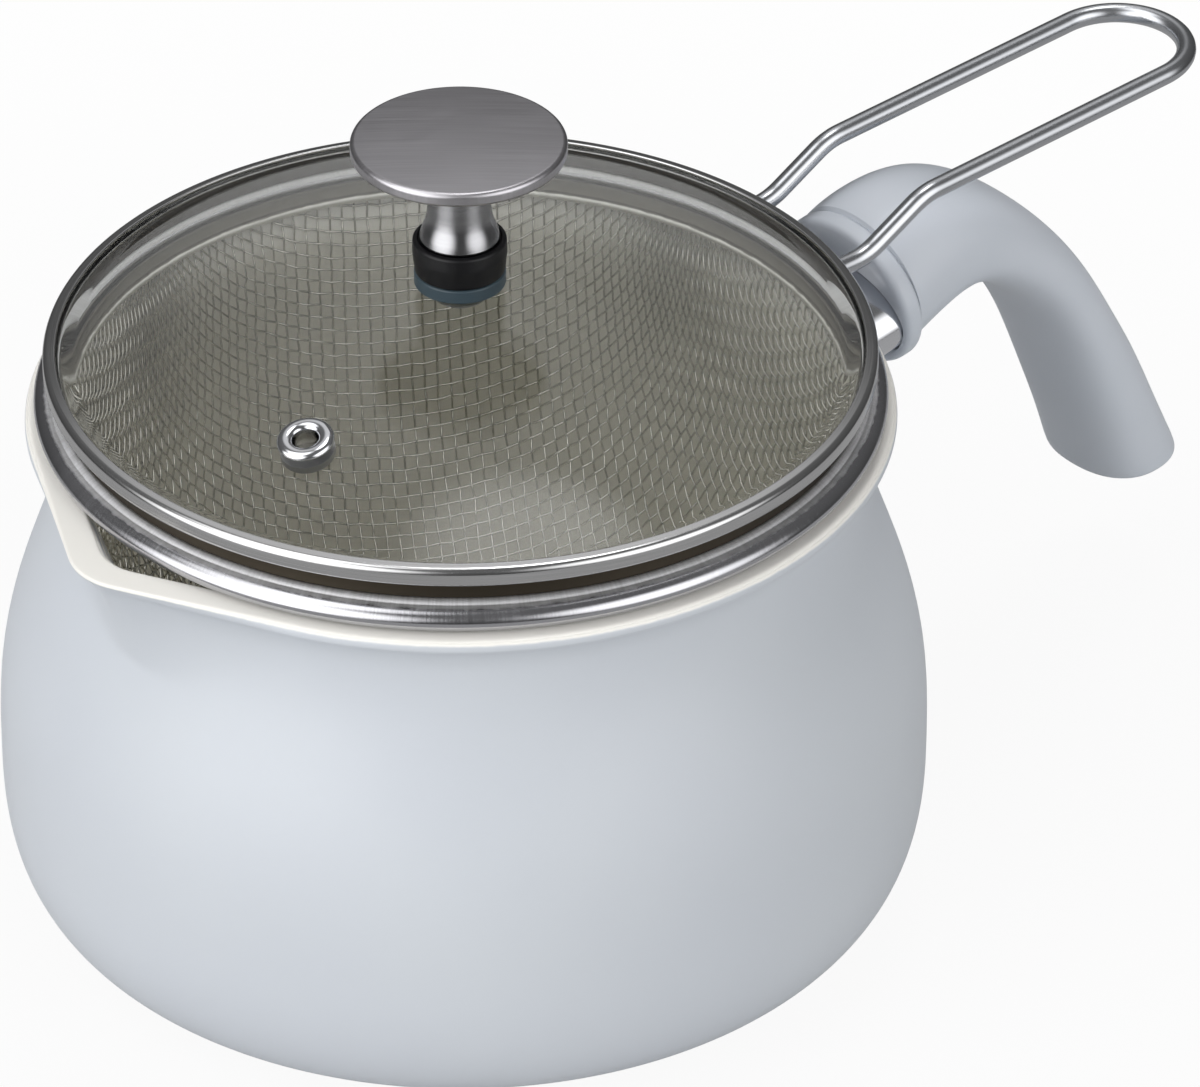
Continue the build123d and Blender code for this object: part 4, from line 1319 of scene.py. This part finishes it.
@dataclass
class Lid:
    """Domed glass lid with a folded steel rim and a steam vent."""

    rim_r: float = 80.0
    rim_top: float = 121.2
    rim_h: float = 4.0
    sheet: float = 0.7
    cover: float = 2.5
    skirt_r: float = 77.4
    skirt_low: float = 113.21
    glass_edge: float = 78.8
    apex: float = 134.9
    glass_t: float = 4.0
    vent_at: float = 54.0
    vent_turn: float = 197.4
    vent_flange: float = 5.5
    vent_hole: float = 2.45
    vent_crown: float = 1.1
    rim_fall: float = 0.45
    rim_round: float = 1.3
    foot_in: float = 3.0
    hub_r: float = 3.0
    drill_r: float = 3.2
    drill_span: tuple[float, float] = (-12.0, 6.0)

    def dome(self) -> tuple[float, float]:
        """Radius and centre height of the dome's outer ball."""
        foot = self.rim_r - self.foot_in
        rise = self.apex - (self.rim_top - self.sheet)
        radius = (foot ** 2 + rise ** 2) / (2 * rise)
        return radius, self.apex - radius

    def glass_section(self) -> Array:
        """Section of the glass: two ball surfaces a wall apart, a flat foot ring and a rounded edge."""
        radius, centre = self.dome()
        high, low = self.rim_top - self.sheet, self.rim_top - self.rim_h + self.sheet
        foot = self.rim_r - self.foot_in
        r = np.linspace(self.hub_r, foot - 0.5, 70)
        top = np.stack([r, centre + np.sqrt(radius ** 2 - r ** 2)], 1)
        edge = rounded([(foot, high, 0), (self.glass_edge, high, 0.9), (self.glass_edge, low, 0.9),
                        (foot - 1.2, low, 0)], 6, closed=False)
        rise = self.apex - self.glass_t - low
        in_foot = foot - 2.0
        in_r = (in_foot ** 2 + rise ** 2) / (2 * rise)
        r2 = np.linspace(in_foot - 0.4, self.hub_r, 70)
        under = np.stack([r2, self.apex - self.glass_t - in_r + np.sqrt(in_r ** 2 - r2 ** 2)], 1)
        return np.concatenate([top, edge, under])

    def rim_section(self) -> Array:
        """Section of the folded steel rim: a channel round the glass edge with a skirt below."""
        low, inner = self.rim_top - self.rim_h, self.skirt_r - self.sheet
        cover = self.rim_r - self.cover
        high, under = self.rim_top - self.sheet, low + self.sheet
        return rounded([
            (inner, self.skirt_low, 0.3), (self.skirt_r, self.skirt_low, 0.3), (self.skirt_r, low, 0.35),
            (self.rim_r, low, 0.8), (self.rim_r, self.rim_top - self.rim_fall, self.rim_round),
            (cover, self.rim_top, 0.33), (cover, high, 0.15), (self.glass_edge, high, 0.2),
            (self.glass_edge, under, 0.2), (inner, under, 0.2)], 7)

    def vent_frame(self) -> tuple[Array, Array, Array, Array]:
        """Place on the glass of the vent, and its two level directions and its outward direction."""
        radius, centre = self.dome()
        lean, a = self.vent_at / radius, np.radians(self.vent_turn)
        out = np.array([lean * np.cos(a), lean * np.sin(a), np.sqrt(1 - lean ** 2)])
        one = np.cross([0, 0, 1.0], out)
        one /= np.linalg.norm(one)
        return np.array([0, 0, centre]) + radius * out, one, np.cross(out, one), out

    def about_vent(self, line: Array, count: int) -> Array:
        """Points of a section (r, h) turned about the vent's line: base + r * circle + h * outward direction."""
        base, one, two, out = self.vent_frame()
        return base + line[:, :1, None] * circle(one, two, count) + line[:, 1:, None] * out

    def eyelet(self) -> Piece:
        """Rolled eyelet: its section turned about the vent's own line and tilted with the glass."""
        t = np.linspace(0, np.pi, 22)
        hole, flange = self.vent_hole, self.vent_flange
        mid, half = (flange + hole) / 2, (flange - hole) / 2
        crown = np.stack([mid + half * np.cos(t), -0.15 + (self.vent_crown + 0.05) * np.sin(t) ** 0.85], 1)
        barrel = np.array([[hole, -1.5], [hole, -4.8], [hole + 0.75, -4.9], [hole + 0.75, -0.6], [flange - 0.6, -0.35],
                           [flange - 0.1, -0.3]])
        return wrapped("steam_eyelet", self.about_vent(np.concatenate([crown, barrel]), 96), True)

    def drill(self, glass: Piece) -> None:
        """Drills the vent through the glass with a round bar along the vent's line.

        Args:
            glass: The blank.
        """
        low, high = self.drill_span
        line = np.array([[0, low], [self.drill_r, low], [self.drill_r, high], [0, high]])
        bar = wrapped("vent_bar", self.about_vent(line, 64))
        cut = glass.modifiers.new("vent", "BOOLEAN")
        cut.operation, cut.object, cut.solver = "DIFFERENCE", bar, "EXACT"
        done = bpy.data.meshes.new_from_object(glass.evaluated_get(bpy.context.evaluated_depsgraph_get()))
        glass.modifiers.clear()
        glass.data = done
        bpy.data.objects.remove(bar)

    def build(self, looks: Finishes) -> None:
        """Makes glass, rim and eyelet, and dresses the washer."""
        glass = turned("dome_glass", self.glass_section(), 300)
        self.drill(glass)
        place_piece(glass, looks.glass, "lid", "lid_glass", "lid_glass")
        place_piece(turned("folded_rim", self.rim_section(), 360), looks.rim, "lid", "rim_steel", "lid_rim")
        place_piece(self.eyelet(), looks.polished, "lid", "steel_polished", "vent_eyelet")
        dress_node("vent_washer", looks.hidden)


@dataclass
class Knob:
    """Flat steel disc on a waisted stem, with a black collar and a silicone ring on the glass."""

    gasket_r: float = 8.8
    glass_top: float = 134.9
    gasket_top: float = 137.5
    collar_r: float = 9.1
    collar_top: float = 144.7
    stem_foot: float = 7.75
    stem_flare: tuple = ((0.064, 7.45), (0.203, 6.55), (0.38, 6.06))
    stem_waist: float = 5.7
    stem_head: float = 6.2
    disc_r: float = 20.6
    disc_t: float = 3.2
    disc_top: float = 166.3
    disc_crown: float = 0.5
    disc_round: float = 1.0
    bore_r: float = 2.2

    def stem_section(self) -> Array:
        """Half section of the stem: a smooth cubic through foot, flare, waist and head radii, closed on the axis."""
        low, high = self.collar_top, self.disc_top - self.disc_t + 0.3
        z = np.linspace(low, high, 60)
        flare = np.array(self.stem_flare)
        knots = low + (high - low) * np.concatenate([[0.0], flare[:, 0], [0.7, 1.0]])
        radii = np.concatenate([[self.stem_foot], flare[:, 1], [self.stem_waist, self.stem_head]])
        r = natural_spline(knots, radii[:, None], z)[:, 0]
        return np.concatenate([[[0, low]], [[self.stem_foot - 0.3, low]], np.stack([r, z], 1), [[0, high]]])

    def disc_section(self) -> Array:
        """Half section of the disc: rounded edges and a top that falls by the crown times (r / radius) squared."""
        low, high = self.disc_top - self.disc_t, self.disc_top
        inner = np.linspace(0.85, 0, 16)
        top = np.stack([self.disc_r * inner, high - self.disc_crown * inner ** 2], 1)
        edge = rounded([(0, low, 0), (self.disc_r, low, 0.6), (self.disc_r, high - self.disc_crown, self.disc_round),
                        tuple(top[0]) + (0,)], 12, closed=False)
        return np.concatenate([edge[:-1], top])

    def collar_section(self) -> Array:
        """Section of the collar: slightly barrel-shaped, rounded at the top with a shallow ledge round the stem."""
        low, high, r = self.gasket_top, self.collar_top, self.collar_r
        foot = self.stem_foot
        return rounded([(self.bore_r, low, 0), (r - 0.45, low, 0.5), (r, low + 4.2, 5.0), (r - 0.1, high - 0.35, 0.9),
                        (foot + 0.35, high - 0.05, 0.25), (foot + 0.15, high - 0.5, 0.1),
                        (self.bore_r, high - 0.5, 0)], 8)

    def gasket_section(self) -> Array:
        """Section of the silicone ring: a rounded pad that sits on the dome."""
        low, high, r = self.glass_top - 0.1, self.gasket_top, self.gasket_r
        return rounded([(self.bore_r, low, 0), (r, low - 0.12, 0.3), (r, high, 0.4), (self.bore_r, high, 0)], 6)

    def build(self, looks: Finishes) -> None:
        """Makes disc, stem, collar and ring, and dresses what is under the glass."""
        place_piece(turned("knob_top", self.disc_section(), 220, closed=False), looks.disc, "lid", "knob_steel",
                    "knob_disc")
        place_piece(turned("knob_waist", self.stem_section(), 140, closed=False), looks.stem, "lid", "knob_steel",
                    "knob_stem")
        place_piece(turned("knob_ring", self.collar_section(), 140), looks.collar, "lid", "collar_black",
                    "knob_collar")
        place_piece(turned("seal_ring", self.gasket_section(), 140), looks.silicone, "lid", "silicone",
                    "upper_gasket")
        dress_node("lower_gasket", looks.seal)
        for node in ("knob_washer", "knob_screw"):
            dress_node(node, looks.hidden)


# ---------------------------------------------------------------- studio


def heading(azimuth: float, elevation: float) -> Array:
    """Direction of an azimuth, counted from -Y towards +X, and an elevation in degrees."""
    a, e = np.radians(azimuth), np.radians(elevation)
    return np.array([np.sin(a) * np.cos(e), -np.cos(a) * np.cos(e), np.sin(e)])


@dataclass(frozen=True)
class SoftBox:
    """Soft light of the room: full inside one angle from its middle and fading to nothing at a wider one."""

    azimuth: float
    elevation: float
    core: float
    edge: float
    strength: float

    def glow(self, tree: Tree, way: Socket) -> Socket:
        """Light from a direction: eased from nothing to full strength over the cosines of edge and core."""
        facing = vector(tree, "DOT_PRODUCT", way, tuple(heading(self.azimuth, self.elevation).tolist()))
        dark, full = np.cos(np.radians([self.edge, self.core])).tolist()
        return remap(tree, facing, 0.0, self.strength, dark, full, "SMOOTHSTEP")


@dataclass
class Studio:
    """Plain pale floor, soft boxes of light in a grey room and the camera at the photograph's angle."""

    target: tuple[float, float, float] = (20.1, -17.5, 74.95)
    azimuth: float = -41.0
    elevation: float = 33.04
    distance: float = 1746.8
    lens: float = 270.0
    background: float = 1.0
    keep_shadow: float = 0.07
    floor_r: float = 520.0
    floor_gleam: float = 0.42
    floor_grey: float = 0.62
    floor_z: float = -0.05
    shade_from: float = 100.0
    room_span: tuple[float, float] = (-0.1, 0.9)
    room_grey: tuple[float, float] = (0.08, 0.16)
    sensor: float = 36.0
    clip: tuple[float, float] = (0.05, 50.0)
    boxes: tuple[SoftBox, ...] = (
        SoftBox(azimuth=-92.0, elevation=19.0, core=18.0, edge=46.0, strength=2.5),
        SoftBox(azimuth=12.0, elevation=19.0, core=11.0, edge=39.0, strength=2.05),
        SoftBox(azimuth=139.0, elevation=52.0, core=6.0, edge=24.0, strength=0.6),
        SoftBox(azimuth=120.0, elevation=73.0, core=3.0, edge=13.0, strength=5.5),
        SoftBox(azimuth=-122.0, elevation=66.0, core=7.0, edge=24.0, strength=2.2))

    def camera(self) -> None:
        """Places the camera: target plus distance times the direction of its azimuth and elevation."""
        back = heading(self.azimuth, self.elevation)
        spot = (np.array(self.target) + self.distance * back) * MM
        data = bpy.data.cameras.new("camera")
        data.lens, data.sensor_width = self.lens, self.sensor
        data.clip_start, data.clip_end = self.clip
        view = bpy.data.objects.new("camera", data)
        view.location = spot
        view.rotation_mode = "QUATERNION"
        view.rotation_quaternion = Vector(-back).to_track_quat("-Z", "Y")
        bpy.context.scene.collection.objects.link(view)
        bpy.context.scene.camera = view

    def floor(self) -> None:
        """Level round floor: white to the camera and through glass, grey in reflections, with some real shade.

        The share that keeps the shadow fades from the pot to the floor's edge, where it meets the white background.
        """
        line = np.array([[self.floor_r * share, self.floor_z] for share in (0.0, 0.3, 0.6, 1.0)])
        ground = wrapped("floor", spun(line, full_turn(96)))
        material = bpy.data.materials.new("pale_floor")
        material.use_nodes = True
        tree = material.node_tree
        tree.nodes.clear()
        leave = tree.nodes.new("ShaderNodeOutputMaterial")
        matt = add_node(tree, "ShaderNodeBsdfDiffuse", {"Color": opaque((self.floor_grey,) * 3)})
        path = add_node(tree, "ShaderNodeLightPath").outputs
        mirrored = number(tree, "SUBTRACT", path["Is Glossy Ray"], path["Is Transmission Ray"])
        gleam = remap(tree, mirrored, self.background, self.floor_gleam)
        pale = add_node(tree, "ShaderNodeEmission", {"Color": WHITE, "Strength": gleam})
        seen = path["Is Camera Ray"]
        for way in ("Is Glossy Ray", "Is Transmission Ray"):
            seen = number(tree, "MAXIMUM", seen, path[way])
        far = vector(tree, "LENGTH", tree.nodes.new("ShaderNodeTexCoord").outputs["Object"])
        white = remap(tree, far, 1.0 - self.keep_shadow, 1.0, self.shade_from * MM, self.floor_r * MM, "SMOOTHSTEP")
        share = number(tree, "MULTIPLY", seen, white)
        mix = add_node(tree, "ShaderNodeMixShader", {0: share, 1: matt.outputs[0], 2: pale.outputs[0]})
        tree.links.new(mix.outputs[0], leave.inputs["Surface"])
        ground.data.materials.append(material)

    def world(self) -> None:
        """White to the camera and through glass; for light and reflections a grey room plus the soft boxes."""
        world = bpy.data.worlds.new("studio")
        bpy.context.scene.world = world
        world.use_nodes = True
        tree = world.node_tree
        tree.nodes.clear()
        leave = tree.nodes.new("ShaderNodeOutputWorld")
        way = tree.nodes.new("ShaderNodeTexCoord").outputs["Generated"]
        parts = add_node(tree, "ShaderNodeSeparateXYZ", {0: way})
        total = remap(tree, parts.outputs["Z"], *self.room_grey, *self.room_span)
        for box in self.boxes:
            total = number(tree, "ADD", total, box.glow(tree, way))
        room = add_node(tree, "ShaderNodeBackground", {"Color": WHITE, "Strength": total})
        white = add_node(tree, "ShaderNodeBackground", {"Color": WHITE, "Strength": self.background})
        path = add_node(tree, "ShaderNodeLightPath").outputs
        seen = number(tree, "MAXIMUM", path["Is Camera Ray"], path["Is Transmission Ray"])
        mix = add_node(tree, "ShaderNodeMixShader", {0: seen, 1: room.outputs[0], 2: white.outputs[0]})
        tree.links.new(mix.outputs[0], leave.inputs["Surface"])

    def build(self) -> None:
        """Makes camera, floor and world."""
        self.camera()
        self.floor()
        self.world()


def main() -> None:
    """Builds the studio and every sub-assembly in order."""
    logging.basicConfig(level=logging.INFO, format="%(name)s %(message)s")
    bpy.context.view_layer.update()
    bpy.context.scene.view_settings.view_transform = "Standard"
    looks = Finishes()
    pot = Pot()
    Studio().build()
    pot.build(looks)
    Handle().build(looks, pot)
    Strainer().build(looks)
    Lid().build(looks)
    Knob().build(looks)


if __name__ == "__main__":
    main()
